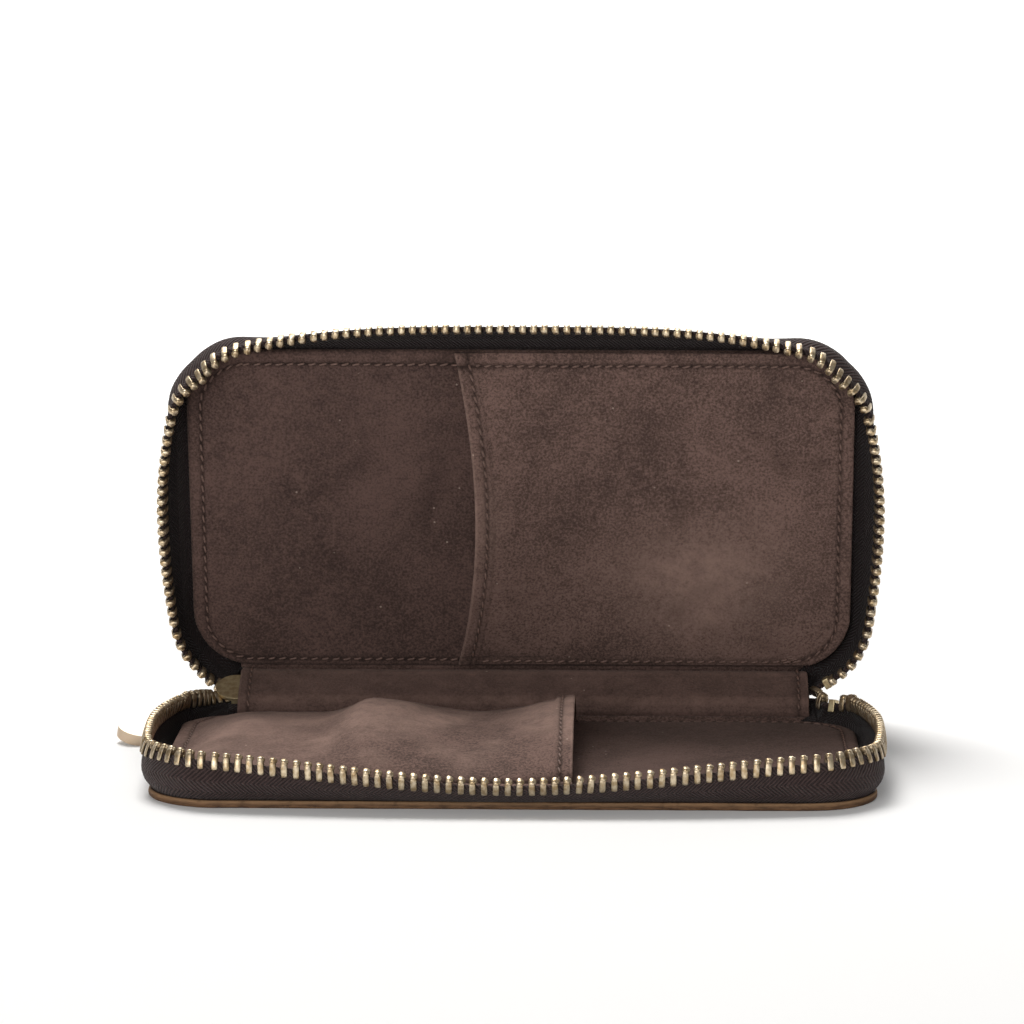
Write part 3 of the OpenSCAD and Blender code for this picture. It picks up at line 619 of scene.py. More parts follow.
# %% Linings
HALF_X, HALF_Y = CASE_W / 2 - LINING_INSET, CASE_D / 2 - LINING_INSET
SEAM_SIDE, SEAM_FOLD = 3.1, 1.8
SEAM_X, SEAM_Y, SEAM_R = HALF_X - SEAM_SIDE, HALF_Y - (SEAM_SIDE + SEAM_FOLD) / 2, 10.3
SEAM_MID = (SEAM_SIDE - SEAM_FOLD) / 2
SEAM_WIDTH, SEAM_SHADE = 0.42, 0.7
CENTRE_INSET = 38.6
MOUTHS = {"base": 12.5, "lid": 9.8}
LINING_UNDER = [(36.3, 3.05), (20, 3.05), (8, 3.05), (4.2, 3.05), (3.4, 2.9), (3.0, 2.3), (2.6, 2.24),
                (0.3, 2.24)]
LINING_EDGE = [(0.0, 2.35), (0.03, 2.8), (0.2, 3.3), (0.55, 3.64), (1.1, 3.78)]
LINING_TOP = (1.6, 2.1, 2.5, 2.8, 3.1, 3.4, 3.7, 4.1, 4.7, 5.6, 7, 9, 11.5, 14, 17, 20, 23, 26, 29, 32,
              34.5, 36.3)
FOAM_PROFILE = [(CENTRE_INSET, 2.2), (20, 2.2), (8, 2.2), (5.2, 2.25), (5.0, 2.5), (5.3, 2.85), (8, 2.95),
                (20, 2.98), (CENTRE_INSET, 2.98)]


def off_seam(x, y):
    """Distance outside the lining's seam, negative inside it."""
    qx, qy = abs(x) - SEAM_X + SEAM_R, abs(y - SEAM_MID) - SEAM_Y + SEAM_R
    return math.hypot(max(qx, 0), max(qy, 0)) + min(max(qx, qy), 0) - SEAM_R


def patch(x, y, centre_x, centre_y, reach_x, reach_y):
    """A soft round patch, 1 at its centre."""
    return math.exp(-((x - centre_x) / reach_x) ** 2 - ((y - centre_y) / reach_y) ** 2)


def lining(part):
    def height(x, y, z):
        if z < 3.79:
            return z
        d = off_seam(x, y)
        z += 0.14 * ripple(x, y, 11, 22) + 0.05 * ripple(x, y, 5, 6) * bell(d, 5)
        z -= 0.34 * bell(d, 0.65)
        under_pocket = ease((MOUTHS[part] - 3 - x) / 4) if d < 0.5 else 0
        return z - 0.3 * under_pocket

    profile = LINING_UNDER + LINING_EDGE + [(inset, LINING_Z) for inset in LINING_TOP]
    rings = panel([(min(i + LINING_INSET, CENTRE_INSET), z) for i, z in profile], height)
    wear_and_painted_light, seam = [], []
    for x, y, z in [p for ring in rings for p in ring]:
        # Painted shade in the seam's groove.
        seam.append(SEAM_SHADE * bell(off_seam(x, y), SEAM_WIDTH) if z > 2.9 else 0.0)
        # On the lid a paler patch low at the right is a painted highlight.
        rub_and_painted_light = patch(x, y, -52, 14, 16, 15) * 0.8 if part == "lid" else 0.0
        wear_and_painted_light.append(rub_and_painted_light + 0.12 * max(0, 1 - abs(off_seam(x, y) - 1.8) / 1.2))
    made = make(part + "_lining_suede", loft(rings), part, lining_suede,
                {"wear_and_painted_light": wear_and_painted_light, "seam": seam})
    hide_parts(part + "_lining")
    return made


def foam_pad(part):
    made = make(part + "_foam_pad", loft(panel(FOAM_PROFILE)), part, foam)
    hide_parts(part + "_foam")
    return made


linings = {part: lining(part) for part in HALVES}
foams = {part: foam_pad(part) for part in HALVES}
for part in HALVES:
    part + "_board"
tell("linings", linings.values())

# %% [markdown]
# ## Pockets
# A pocket is one sheet of suede: flat where its edge is sewn down, rising steeply inside the seam, and
# folded back to a double hem at its mouth. Each hump is (where, how high, reach before, reach after).

# %% Pocket shape
POCKET_FOLD, POCKET_INSET, HEM_SEAM, BAYS = 36.4, 0.15, 2.7, 44
POCKETS = {
    "base": {"mouth": 12.5, "bow": 0.0, "fill": 5.0,
             "humps": [(-30.5, 4.4, 6.5, 15.0), (12.5, 4.4, 13.0, 13.0)]},
    "lid": {"mouth": 9.8, "bow": 4.2, "fill": 0.9, "humps": [(9.8, 5.2, 17.0, 17.0)]},
}
POCKET_END = -HALF_X + POCKET_INSET
POCKET_START = [0, 0.12, 0.45, 1.2, 2.1, 2.95, 3.3, 3.8, 4.6, 5.6]
POCKET_HEM = [5.2, 4.6, 4.15, 3.9, 3.3, 2.7, 2.0, 1.3, 0.7, 0.35, 0.12, 0.0]
BORDER_SHARES = {1: 0.35, 2: 0.7, 3: 0.93, 4: 1.0}
SIDE_ROLL, END_ROLL = {-4: 0.34, -3: 0.1, 48: 0.34, 47: 0.1}, {0: 0.34, 0.12: 0.12}


def pocket_rise(x, v, cut):
    """Height of the pocket over the lining: x along it, v from -1 to 1 between its two seams."""
    wake = math.sin(math.pi / 2 * min(1, max(0, (x + SEAM_X) / 14)))
    rise = cut["fill"]
    for at, high, before, after in cut["humps"]:
        rise += high * bell(x - at, before if x < at else after)
    return wake * math.cos(math.pi / 2 * min(1, abs(v))) ** 0.62 * rise


def outline_half(x, inset):
    """Half depth of the lining's outline at x, drawn in by an inset."""
    half_x, half_y, r = HALF_X - inset, HALF_Y - inset, 13.1 - inset
    c = min(r, max(0, -x - (half_x - r)))
    return half_y - r + math.sqrt(r * r - c * c)


def across_pocket(x, j):
    """Y of column j at x, and its place from -1 to 1 between the seams. Border columns lie outside."""
    v = math.sin(math.pi / 2 * (-1 + 2 * min(BAYS, max(0, j)) / BAYS))
    seam_half = max(3.0, outline_half(max(x, -SEAM_X), SEAM_SIDE))
    front, back = -seam_half, min(seam_half + 1.3, 34.5)
    mid, half = (front + back) / 2, (back - front) / 2
    y = mid + v * half
    if 0 <= j <= BAYS:
        return y, v
    outer = outline_half(max(x, POCKET_END), POCKET_INSET)
    outer = -outer if j < 0 else min(outer, POCKET_FOLD)
    return y + (outer - y) * BORDER_SHARES[-j if j < 0 else j - BAYS], v


def pocket_height(x, y, v, cut):
    """Height of the pocket's underside: fullness, soft waves, and puckers near the seam."""
    inside = max(0.0, -off_seam(x, y))
    rise = pocket_rise(x, v, cut) * (1 + 0.05 * ripple(x, y, 3, 16) + 0.035 * ripple(x, y, 8, 5.5))
    rise += min(1, inside / 3) * (0.22 * ripple(x, y, 21, 9) + 0.1 * ripple(x, y, 4, 4))
    pucker = 0.14 * math.sin(x * 1.6 + 2.2 * ripple(x, 0, 1, 12)) * bell(inside - 2.4, 2.2)
    return LINING_Z + max(0.0, rise + (pucker if inside > 0 else 0))


def two_skins(top, low):
    """A closed sheet from two grids of points and the rim between them."""
    n, m = len(top[0]), len(top)
    faces, off = [], n * m
    for i in range(m - 1):
        for j in range(n - 1):
            a, b, c, d = i * n + j, i * n + j + 1, (i + 1) * n + j + 1, (i + 1) * n + j
            faces += [(a, b, c, d), (off + d, off + c, off + b, off + a)]
    rim = list(range(n)) + [i * n + n - 1 for i in range(1, m)] + \
        [(m - 1) * n + j for j in range(n - 2, -1, -1)] + [i * n for i in range(m - 2, 0, -1)]
    faces += [(a, b, off + b, off + a) for a, b in zip(rim, rim[1:] + rim[:1])]
    return [p for row in top + low for p in row], faces


print("pocket mouths at", {part: cut["mouth"] for part, cut in POCKETS.items()})

# %% [markdown]
# The marks say where a pocket is paler: rubbed on its crests and at its mouth, and on the base in soft
# creases. On the lid low at the right a painted highlight, and on the base at the sewn end painted light,
# make it paler too.

# %% Pockets
def pocket_wear_and_light(part, x, y, z):
    if part == "lid":
        # On the lid: rubbed crests, and a painted highlight low at the right.
        return ease((z - 8.6) / 2.5) * 0.75 + 0.9 * patch(x, y, -40, 16, 17, 13)
    # On the base: painted light at the sewn left end, and rubbed soft creases.
    end_light_and_creases = 0.5 * bell(x + 56, 16) + 0.5 * ease(ripple(x - y, x + y, 6, 13) * 1.6)
    return ease((z - 9.0) / 3.0) * 0.75 + end_light_and_creases


def pocket(part):
    cut = POCKETS[part]
    body = [5.6 + i * 1.6 for i in range(1, 200) if POCKET_END + 5.6 + i * 1.6 < cut["mouth"] - 5.6]
    rows = [(POCKET_END + t, t, False) for t in POCKET_START + body]
    rows += [(cut["mouth"] - t, t, True) for t in POCKET_HEM]
    top, low, wear_and_painted_light, seam = [], [], [], []
    for row_x, t, hem in rows:
        stitched = bell(t - HEM_SEAM, 0.5) if hem else 0.0
        thick = SUEDE_T + (0.55 * ease((4.3 - t) / 0.5) if hem else 0.0)
        top.append([])
        low.append([])
        for j in range(-4, BAYS + 5):
            y, v = across_pocket(row_x, j)
            bow = cut["bow"] * (y / 36) ** 2
            x = row_x + (bow if hem else bow * ease((row_x + 20) / 30))
            z = pocket_height(x, y, v, cut)
            dip = 0.3 * bell(off_seam(x, y), 0.6) + SIDE_ROLL.get(j, 0) + END_ROLL.get(t, 0) + 0.22 * stitched
            top[-1].append((x, y, z + thick - dip))
            low[-1].append((x, y, z + 0.05))
            # Painted shade in the grooves of the edge seam and the hem seam.
            seam.append(SEAM_SHADE * max(stitched, bell(off_seam(x, y), SEAM_WIDTH)))
            wear_and_painted_light.append(min(1, pocket_wear_and_light(part, x, y, z) + (0.55 if hem and t < 0.5 else 0)))
    made = make(part + "_pocket_suede", two_skins(top, low), part, pocket_suede,
                {"wear_and_painted_light": wear_and_painted_light + wear_and_painted_light, "seam": seam + [0.0] * len(seam)})
    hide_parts(part + "_pocket")
    return made, top


pockets = {part: pocket(part) for part in HALVES}
tell("pockets", [made for made, top in pockets.values()])

# %% [markdown]
# ## Zip tapes
# The tape is sewn in under the lining and stands up as a wall. It leaves its seam leaning outwards and
# curls upright towards the corded edge. Each point keeps its distance along the row and up the wall,
# and the weave is drawn from those.

# %% Tapes
UPS = [0.8, 1.6, 2.4, 3.2, 4.0, 4.8, 5.6, 6.3, 6.9]
CORD_POINTS = 8
FLANGE, FLANGE_T = 6, 0.3


def cord_round(cord, across, rise):
    """Points round the corded edge, from the tape's outer face over the top to its inner face."""
    angles = [math.pi * (-0.12 + 1.24 * i / (CORD_POINTS - 1)) for i in range(CORD_POINTS)]
    return [cord + (across * math.cos(a) + rise * math.sin(a)) * CORD_R for a in angles]


def faces_of_tape(centre, facing, rise):
    """Up the outer face, round the cord and down the inner face, from the tape's middle line."""
    pairs = list(zip(centre[:-1], facing[:-1]))
    return [c + f * (TAPE_T / 2) for c, f in pairs] + cord_round(centre[-1], facing[-1], rise) + \
        [c - f * (TAPE_T / 2) for c, f in pairs][::-1]


def wall_section(s, wall):
    """Closed section: the flange under the lining, and the tape that stands on it."""
    x, y, turn = path_at(s)
    top, outer, foot = top_at(s, wall), level_out(turn), Vector((x, y, SEAM_Z))
    corner = ease(1 - (abs(abs(s) - MID_CORNER) - 6) / 14)
    centre, facing = [], []
    for u in [u * top / WALL_H for u in UPS] + [top]:
        a = lean_at(s, wall) + CURL / 2 - CURL * min(u, top) / top
        sway = (0.1 * ripple(s, u, 2, 7) + wall["belly"] * corner) * math.sin(math.pi * min(1, u / 7))
        centre.append(wall_at(s, u, 0, wall) + outward(a, turn) * sway)
        facing.append(outward(a, turn))
    low = [foot + outer * out + Vector((0, 0, -FLANGE_T)) for out in (-FLANGE, 0.3)]
    back = [foot + outer * out + Vector((0, 0, up)) for out, up in
            ((-0.4, 0.4), (-0.6, FLANGE_T), (-FLANGE, FLANGE_T))]
    return low + faces_of_tape(centre, facing, (centre[-1] - centre[-2]).normalized()) + back


def section_weave(s, top):
    ups = [u * top / WALL_H for u in UPS]
    outer = [-6.0, 0.0] + ups + [top + 0.3 * i for i in range(CORD_POINTS)]
    return [(s, u, 1.0) for u in outer] + [(s, u, 0.0) for u in ups[::-1] + [-0.4, -0.6, -6.0]]


def tape_wall(part, spec, low, high, step=1.25):
    n = math.ceil((high - low) / step)
    stations = [low + (high - low) * i / n for i in range(n + 1)]
    weave = [mark for s in stations for mark in section_weave(s, top_at(s, spec))]
    made = make(part + "_tape_woven", loft([wall_section(s, spec) for s in stations]), part, tape,
                {"weave": weave})
    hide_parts(part + "_tape")
    return made


walls = {"base": tape_wall("base", BASE_WALL, -CLEAR_END, FULL_END),
         "lid": tape_wall("lid", LID_WALL, -FULL_END, CLEAR_END)}
tell("tapes", walls.values())

# %% [markdown]
# ## Brass teeth
# One tooth is drawn once: two flat legs that grip the cord, a neck, and a head with a nib that meshes
# into the next tooth. Each copy is turned a hair at random, as pressed-on teeth are.

# %% One tooth
LEG = ((-0.02, 0.60, 0.4), (0.06, 0.70, 0.56), (0.5, 0.82, 0.63), (1.2, 0.86, 0.65), (1.9, 0.86, 0.65),
       (2.5, 0.82, 0.64), (2.85, 0.72, 0.6), (3.1, 0.5, 0.5))
LEG_HALF_T = 0.22
LEG_SECTION = ((-1, -1), (-1, 0.5), (-0.75, 0.92), (0, 1.08), (0.75, 0.92), (1, 0.5), (1, -1), (0, -1))


def lump(cx, cy, cz, rx, ry, rz, power, around=12, up=7):
    """A rounded block: a ball whose sides are pressed flat."""
    def press(v):
        return math.copysign(abs(v) ** (2 / power), v)
    rings = []
    for a in [math.pi * i / up - math.pi / 2 for i in range(1, up)]:
        rings.append([(cx + rx * press(math.cos(a)) * press(math.cos(b)),
                       cy + ry * press(math.cos(a)) * press(math.sin(b)),
                       cz + rz * press(math.sin(a))) for b in [math.tau * j / around for j in range(around)]])
    return loft(rings)


def leg(side):
    """A flat bar that comes down one face of the tape: height, distance out and half width."""
    return loft([[(x * w, side * (y + u * LEG_HALF_T), TOOTH_FOOT + z) for x, u in LEG_SECTION]
                 for z, y, w in LEG])


def tooth_wear_and_shade(point):
    """Bright on the head and the legs' outer faces; flanks painted dark as shade, and tarnish with painted
    shade between the legs.
    """
    x, y, z = point
    up, flank = z - TOOTH_FOOT, 1 - 0.6 * ease((abs(x) - 0.4) / 0.25)
    if up > TOOTH_L - 1.48:
        return (0.7 + 0.3 * ease((up - TOOTH_L + 1.3) / 0.8)) * (0.3 + 0.7 * flank)
    return (0.2 + 0.8 * ease((abs(y) - 0.8) / 0.2)) * flank


tip = TOOTH_FOOT + TOOTH_L
head, neck = lump(0, 0, tip - 0.76, 0.68, 0.96, 0.76, 2.9), lump(0, 0, tip - 1.5, 0.5, 0.6, 0.6, 3.0, 10, 5)
nib = lump(0.5, 0.08, tip - 0.7, 0.46, 0.66, 0.5, 2.3, 8, 5)
TOOTH = joined([head, nib, neck, leg(1), leg(-1)])
TOOTH_WEAR_AND_SHADE = [tooth_wear_and_shade(p) for p in TOOTH[0]]
print("one tooth:", len(TOOTH[0]), "points")

# %% [markdown]
# A row is many copies of the tooth along the wall, with a few more at its right end, by the spine.

# %% Rows of teeth
MORE = 3


def teeth(name, part, places, jitter, ride=True):
    """Copies of the tooth at places, each a matrix in millimetres from the tooth's own axes."""
    points, faces, wear_and_shade = [], [], []
    for place in places:
        nudge = Matrix.Translation((jitter.gauss(0, 0.04), 0, WALL_H)) @ \
            Matrix.Rotation(jitter.gauss(0, 0.03), 4, "Z") @ \
            Matrix.Rotation(jitter.gauss(0, 0.03), 4, "Y") @ Matrix.Translation((0, 0, -WALL_H))
        tone, start = jitter.uniform(0.82, 1.0), len(points)
        points += [place @ nudge @ Vector(p) for p in TOOTH[0]]
        wear_and_shade += [w * tone for w in TOOTH_WEAR_AND_SHADE]
        faces += [tuple(i + start for i in f) for f in TOOTH[1]]
    return make(name, (points, faces), part, brass, {"wear_and_shade": wear_and_shade}, ride)


def tooth_place(s, wall):
    turn, top = path_at(s)[2], top_at(s, wall)
    lean = lean_at(s, wall) - CURL / 2
    return Matrix.Translation(wall_at(s, top, 0, wall) - WALL_H * upward(lean, turn)) @ \
        Matrix.Rotation(turn, 4, "Z") @ Matrix.Rotation(lean, 4, "X")


count = math.floor((CLEAR_END + FULL_END - 3 * PITCH) / PITCH)
base_places = [tooth_place(-CLEAR_END + PITCH * (i + 0.6), BASE_WALL) for i in range(count + MORE)]
lid_places = [tooth_place(CLEAR_END - PITCH * (i + 1.1), LID_WALL) for i in range(-1, count + MORE)]
rows = {"base": teeth("base_teeth_row", "base", base_places, random.Random(5)),
        "lid": teeth("lid_teeth_row", "lid", lid_places, random.Random(9))}
for part, row in rows.items():
    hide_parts(part + "_teeth")
print("teeth in each CAD row:", count)

# %% [markdown]
# ## Where the rows run on to the spine
# The tapes do not stop at the last tooth of a half. They swing in over the fold, lie down on the spine
# and, at the left, run into the slider's mouth.


def hermite(ends, ways, t):
    """A curve between two ends that leaves and arrives along its two ways."""
    return ends[0] * (2 * t ** 3 - 3 * t ** 2 + 1) + ways[0] * (t ** 3 - 2 * t ** 2 + t) + \
        ends[1] * (-2 * t ** 3 + 3 * t ** 2) + ways[1] * (t ** 3 - t ** 2)


def turned(pair, share):
    return pair[0].lerp(pair[1], share).normalized()


def bent_width(foot, cord, leaves, arrives, heading):
    """Middle line of the tape from its foot to its cord, and the way that it faces at each point."""
    centre, facing = [], []
    for q in [0.0] + [v / WALL_H for v in UPS] + [1.0]:
        centre.append(foot * (1 - q) ** 3 + 3 * leaves * q * (1 - q) ** 2 + 3 * arrives * q * q * (1 - q) +
                      cord * q ** 3)
        slope = 3 * (leaves - foot) * (1 - q) ** 2 + 6 * (arrives - leaves) * q * (1 - q) + \
            3 * (cord - arrives) * q * q
        facing.append(heading.cross(slope).normalized())
    return centre, facing


def places_along(line, first, most):
    """Places for teeth a pitch apart along a line of (point, heading, rise)."""
    places = []
    for i, share in list(paces([point for point, *rest in line], first * PITCH, PITCH))[:most]:
        p, h, u = [a.lerp(b, share) for a, b in zip(line[i], line[i + 1])]
        h, u = h.normalized(), u.normalized()
        y = u.cross(h).normalized()
        z = h.cross(y)
        places.append(Matrix.Translation(p - z * WALL_H) @ Matrix((h, y, z)).transposed().to_4x4())
    return places

# %% [markdown]
# A bridge starts with the wall's own lean and ends flat on the spine.

# %% Bridges
def bridge(name, part, s_end, x, cord_y, foot_y, first, most):
    """A tape end from the wall at s_end to the spine at x, with its own teeth."""
    spec, flip = (BASE_WALL, 1) if part == "base" else (LID_WALL, -1)
    sign = 1 if s_end > 0 else -1
    px, py, turn = path_at(s_end)
    lean, top = lean_at(s_end, spec), top_at(s_end, spec)
    spin, slope = PLACES[part].to_3x3(), SPINE.to_3x3()
    foot, cord = [(in_base(part, start), in_base("spine", (x, MID + flip * (y - MID), z)))
                  for start, y, z in (((px, py, SEAM_Z), foot_y, 1.35),
                                      (wall_at(s_end, top, 0, spec), cord_y, CHAIN_Z))]
    flat_up = slope @ Vector((0, flip, 0))
    rise, up = [(spin @ upward(lean + bend, turn), flat_up) for bend in (CURL / 2, -CURL / 2)]
    inward = (spin @ Vector((-math.sin(turn), math.cos(turn), 0)),
              slope @ Vector((math.copysign(0.7, -x), -flip * 0.75, 0)))
    go = (spin @ Vector((math.cos(turn), math.sin(turn), 0)) * sign,
          slope @ Vector((-math.copysign(1, x), 0, 0)))
    reach = (cord[1] - cord[0]).length * 1.1
    cord_ways = [g * reach for g in go]
    foot_ways = [way * 0.7 for way in cord_ways]
    n = max(6, round(reach / 0.9))
    rings, weave, line = [], [], []
    for t in [i / n for i in range(n + 1)]:
        f, c = hermite(foot, foot_ways, t), hermite(cord, cord_ways, t)
        after, before = [hermite(cord, cord_ways, near) for near in (min(1, t + 0.02), max(0, t - 0.02))]
        heading = (after - before).normalized() * sign
        e = ease(t)
        r, u = turned(rise, e), turned(up, e)
        u = (u - heading * u.dot(heading)).normalized()
        width = top + (cord_y - foot_y - top) * e
        centre, facing = bent_width(f, c, f + r * width / 3, c - u * width / 3, heading)
        flange = f + turned(inward, e) * (6 - 2 * e + 2.5 * math.sin(math.pi * e))
        flat = [flange - facing[0] * 0.25, flange + facing[0] * 0.25]
        rings.append(flat + faces_of_tape(centre, facing, u))
        s = s_end + sign * t * reach * 0.95
        outer = [0.0] + UPS + [WALL_H + 0.3 * j for j in range(CORD_POINTS)]
        weave += [(s, -5.0, 0.0), (s, -5.0, 1.0)] + [(s, v, 1.0) for v in outer] + \
            [(s, v, 0.0) for v in UPS[::-1] + [0.0]]
        line.append((c, heading, u))
    pair = [make(name + "_tape_end", loft(rings), "base", tape, {"weave": weave}, ride=False),
            teeth(name + "_teeth_end", "base", places_along(line, first, most), random.Random(len(name)),
                  ride=False)]
    for piece in pair:
        if part == "base":
            cord[0] * MM
            cord[1] * MM
            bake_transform(piece)
        else:
            cord[1] * MM
            cord[0] * MM
            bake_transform(piece)
    return pair


bridges = [
    bridge("left_base", "base", -CLEAR_END, -64.6, 8.6, 4.4, 0.4, 8),
    bridge("left_lid", "lid", CLEAR_END, -64.6, 8.6, 4.4, 0.9, 8),
    bridge("right_base", "base", FULL_END, 64.4, 9.8, 4.6, 1.0, 2),
    bridge("right_lid", "lid", -FULL_END, 64.4, 9.8, 4.6, 1.0, 2)]
for part, (left, right) in {"base": (bridges[0], bridges[2]), "lid": (bridges[1], bridges[3])}.items():
    ends = [left[0], right[0]]
    area = sum(f.area for piece in [walls[part]] + ends for f in piece.data.polygons) / 2
tell("bridges", [piece for pair in bridges for piece in pair])

# %% [markdown]
# ## The spine
# Leather outside, a thin foam, and a suede lining whose ends are folded under and stitched. The tape
# ends lie beneath it.

# %% Rounded CAD pieces
def soften(node, body, width, finish, segments=2, face=None):
    """A copy of a CAD node with its sharp edges rounded. The sides that turn from `face` are painted darker
    as shade.
    """
    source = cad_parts[node]
    mesh = bpy.data.meshes.new(node + "_rounded")
    work = bmesh.new()
    work.from_mesh(source.data)
    bmesh.ops.transform(work, matrix=source.matrix_world, verts=work.verts)
    bmesh.ops.remove_doubles(work, verts=work.verts, dist=2e-6)
    bmesh.ops.dissolve_limit(work, angle_limit=math.radians(1.5), verts=work.verts, edges=work.edges)
    sharp = [e for e in work.edges if len(e.link_faces) == 2 and e.calc_face_angle(0) > math.radians(28)]
    bmesh.ops.bevel(work, geom=sharp, offset=width * MM, segments=segments, profile=0.6, affect="EDGES",
                    clamp_overlap=True)
    bmesh.ops.triangulate(work, faces=[f for f in work.faces if len(f.verts) > 4])
    bmesh.ops.recalc_face_normals(work, faces=work.faces)
    work.to_mesh(mesh)
    work.free()
    wear_and_shade = mesh.attributes.new("wear_and_shade", "FLOAT", "POINT")
    wear_and_shade.data.foreach_set("value", [0.9 if face is None else 0.45 + 0.55 * abs(v.normal.dot(face)) ** 3
                                    for v in mesh.vertices])
    mesh.materials.append(finish.material)
    for polygon in mesh.polygons:
        polygon.use_smooth = True
    made = bpy.data.objects.new(node + "_rounded", mesh)
    scene.collection.objects.link(made)
    corners = made.modifiers.new("weighted", "WEIGHTED_NORMAL")
    corners.keep_sharp = True
    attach(made, body)
    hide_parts(node)
    return made


spine_leather = soften("spine_leather", "spine", 0.3, leather)
tell("rounded", [spine_leather])

# %% [markdown]
# The lining's section is drawn from the base's side to the spine's middle and mirrored.

# %% Spine lining and foam
OUTER_HALF = [(3.4, 0.86), (3.4, 1.6), (3.4, 2.3), (3.46, 2.62), (3.7, 2.95), (4.3, 3.33), (5.1, 3.78),
              (5.8, 4.14), (6.4, 4.36), (7.2, 4.5), (8.4, 4.55), (9.9, 4.57), (11.4, 4.58)]
INNER_HALF = [(4.2, 0.86), (4.2, 1.5), (4.22, 2.1), (4.35, 2.45), (4.9, 2.82), (5.6, 3.22), (6.3, 3.56),
              (7.0, 3.72), (8.4, 3.77), (11.4, 3.78)]
FOAM_HALF = [(4.9, 0.9), (4.9, 1.8), (5.1, 2.3), (6.9, 3.3), (8, 3.4), (11.4, 3.42)]
SKIN_LEFT, SKIN_RIGHT, STITCH_LEFT, STITCH_RIGHT = -62.4, 63.6, -60.05, 61.3
SKIN_STATIONS = [-62.4, -62.3, -62.1, -61.8, -61.4, -61, -60.7, -60.4, -60.05, -59.7, -59.4, -59.0, -58.6,
                 -58.2] + [-57.5 + i for i in range(118)] + \
                [60.9, 61.3, 61.7, 62.2, 62.6, 63.0, 63.3, 63.5, 63.6]


def both_sides(half):
    return half + [(SPINE_W - y, z) for y, z in half[-2::-1]]


def spine_skin():
    rings, wear_and_painted_light, seam = [], [], []
    outer, inner = both_sides(OUTER_HALF), both_sides(INNER_HALF)
    for x in SKIN_STATIONS:
        end = min(x - SKIN_LEFT, SKIN_RIGHT - x)
        roll = 0.34 * (1 - min(1, end / 0.5)) ** 2
        fold_back = 0.3 * ease((x - SKIN_LEFT) / 0.4) * ease((-58.8 - x) / 0.5)
        sewn = 0.24 * (bell(x - STITCH_LEFT, 0.5) + bell(x - STITCH_RIGHT, 0.5))
        loose = 0.07 + 0.16 * ease((-30 - x) / 25)
        ring = []
        for y, z in outer:
            crown = ease((z - 1.2) / 2)
            crease = loose * ripple(x * 0.8, y * 0.35, 3, 5.5) + 0.08 * ripple(x, y, 9, 14)
            ring.append((x, y + 0.12 * ripple(x, y, 2, 12) * (1 - crown),
                         z + crown * (max(-0.12, crease) + fold_back - sewn) - roll))
            rub_and_painted_light = 0.35 * ease((z - 3.3) / 0.6) * (0.2 + 0.8 * (abs(y - MID) > 4.2))
            wear_and_painted_light.append(0.35 + rub_and_painted_light + 0.3 * (roll > 0.05))
        rings.append(ring + [(x, y, z + roll * 0.6) for y, z in inner[::-1]])
        wear_and_painted_light += [0.0] * len(inner)
        # Painted shade in the grooves where the lining's ends are sewn.
        seam += [sewn * 2.3] * len(outer) + [0.0] * len(inner)
    made = make("spine_lining_suede", loft(rings), "spine", lining_suede,
                {"wear_and_painted_light": wear_and_painted_light, "seam": seam})
    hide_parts("spine_lining")
    return made


def spine_pad():
    rings = [[(x, MID + (y - MID) * k, 0.9 + (z - 0.9) * k) for y, z in both_sides(FOAM_HALF)]
             for x, k in ((-53.3, 0.9), (-53.0, 1), (0, 1), (62.8, 1), (63.1, 0.9))]
    made = make("spine_foam_pad", loft(rings), "spine", foam)
    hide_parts("spine_foam")
    return made


skin, pad = spine_skin(), spine_pad()
tell("spine", [skin, pad])

# %% [markdown]
# Under the lining's ends lie the last bits of both tapes.

# %% Tape tails
def tail(name, stations):
    """Both tape ends on the spine: stations are (x, foot y, cord y, height)."""
    shapes, weave = [], []
    for flip in (1, -1):
        rings = []
        for x, foot_y, cord_y, z in stations:
            ys = [foot_y + (cord_y - 0.6 - foot_y) * i / 4 for i in range(5)]
            section = [(y, z - TAPE_T / 2) for y in ys]
            section += [(cord_y + CORD_R * math.cos(a), CHAIN_Z + CORD_R * math.sin(a))
                        for a in [math.pi * (-0.75 + 1.5 * i / 7) for i in range(8)]]
            section += [(y, z + TAPE_T / 2) for y in ys[::-1]]
            rings.append([(x, MID + flip * (y - MID), height) for y, height in section])
            weave += [(x, y, 1.0) for y in ys] + [(x, 9 + i, 1.0) for i in range(8)] + \
                [(x, y, 0.0) for y in ys[::-1]]
        shapes.append(loft(rings))
    made = make(name + "_woven", joined(shapes), "spine", tape, {"weave": weave})
    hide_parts(name)
    return made


tails = [tail("tape_tails_left", [(-64.6, 4.4, 8.6, 1.4), (-63.2, 4.4, 9.3, 1.4), (-61.6, 4.4, 9.8, 1.4),
                                  (-54.2, 4.4, 9.8, 1.4), (-53.4, 4.4, 9.8, 1.16), (-47.8, 4.4, 9.8, 1.16)]),
         tail("tape_tails_right", [(52.1, 4.6, 9.8, 1.16), (56, 4.6, 9.8, 1.16), (60, 4.6, 9.8, 1.16),
                                   (64.4, 4.6, 9.8, 1.3)])]
tell("tails", tails)

# %% [markdown]
# ## The two folds
# Leather and suede strips carry the spine to each half.

# %% Folds
def swept(outline, half_length, step, waver, seed):
    """Sections of one outline at places along X, a little uneven."""
    n = math.ceil(2 * half_length / step)
    rings = []
    for i in range(n + 1):
        x = -half_length + 2 * half_length * i / n
        rings.append([(x, y + waver * ripple(x, k, seed, 6), z + waver * ripple(x, k, seed + 4, 5))
                      for k, (y, z) in enumerate(outline)])
    return rings


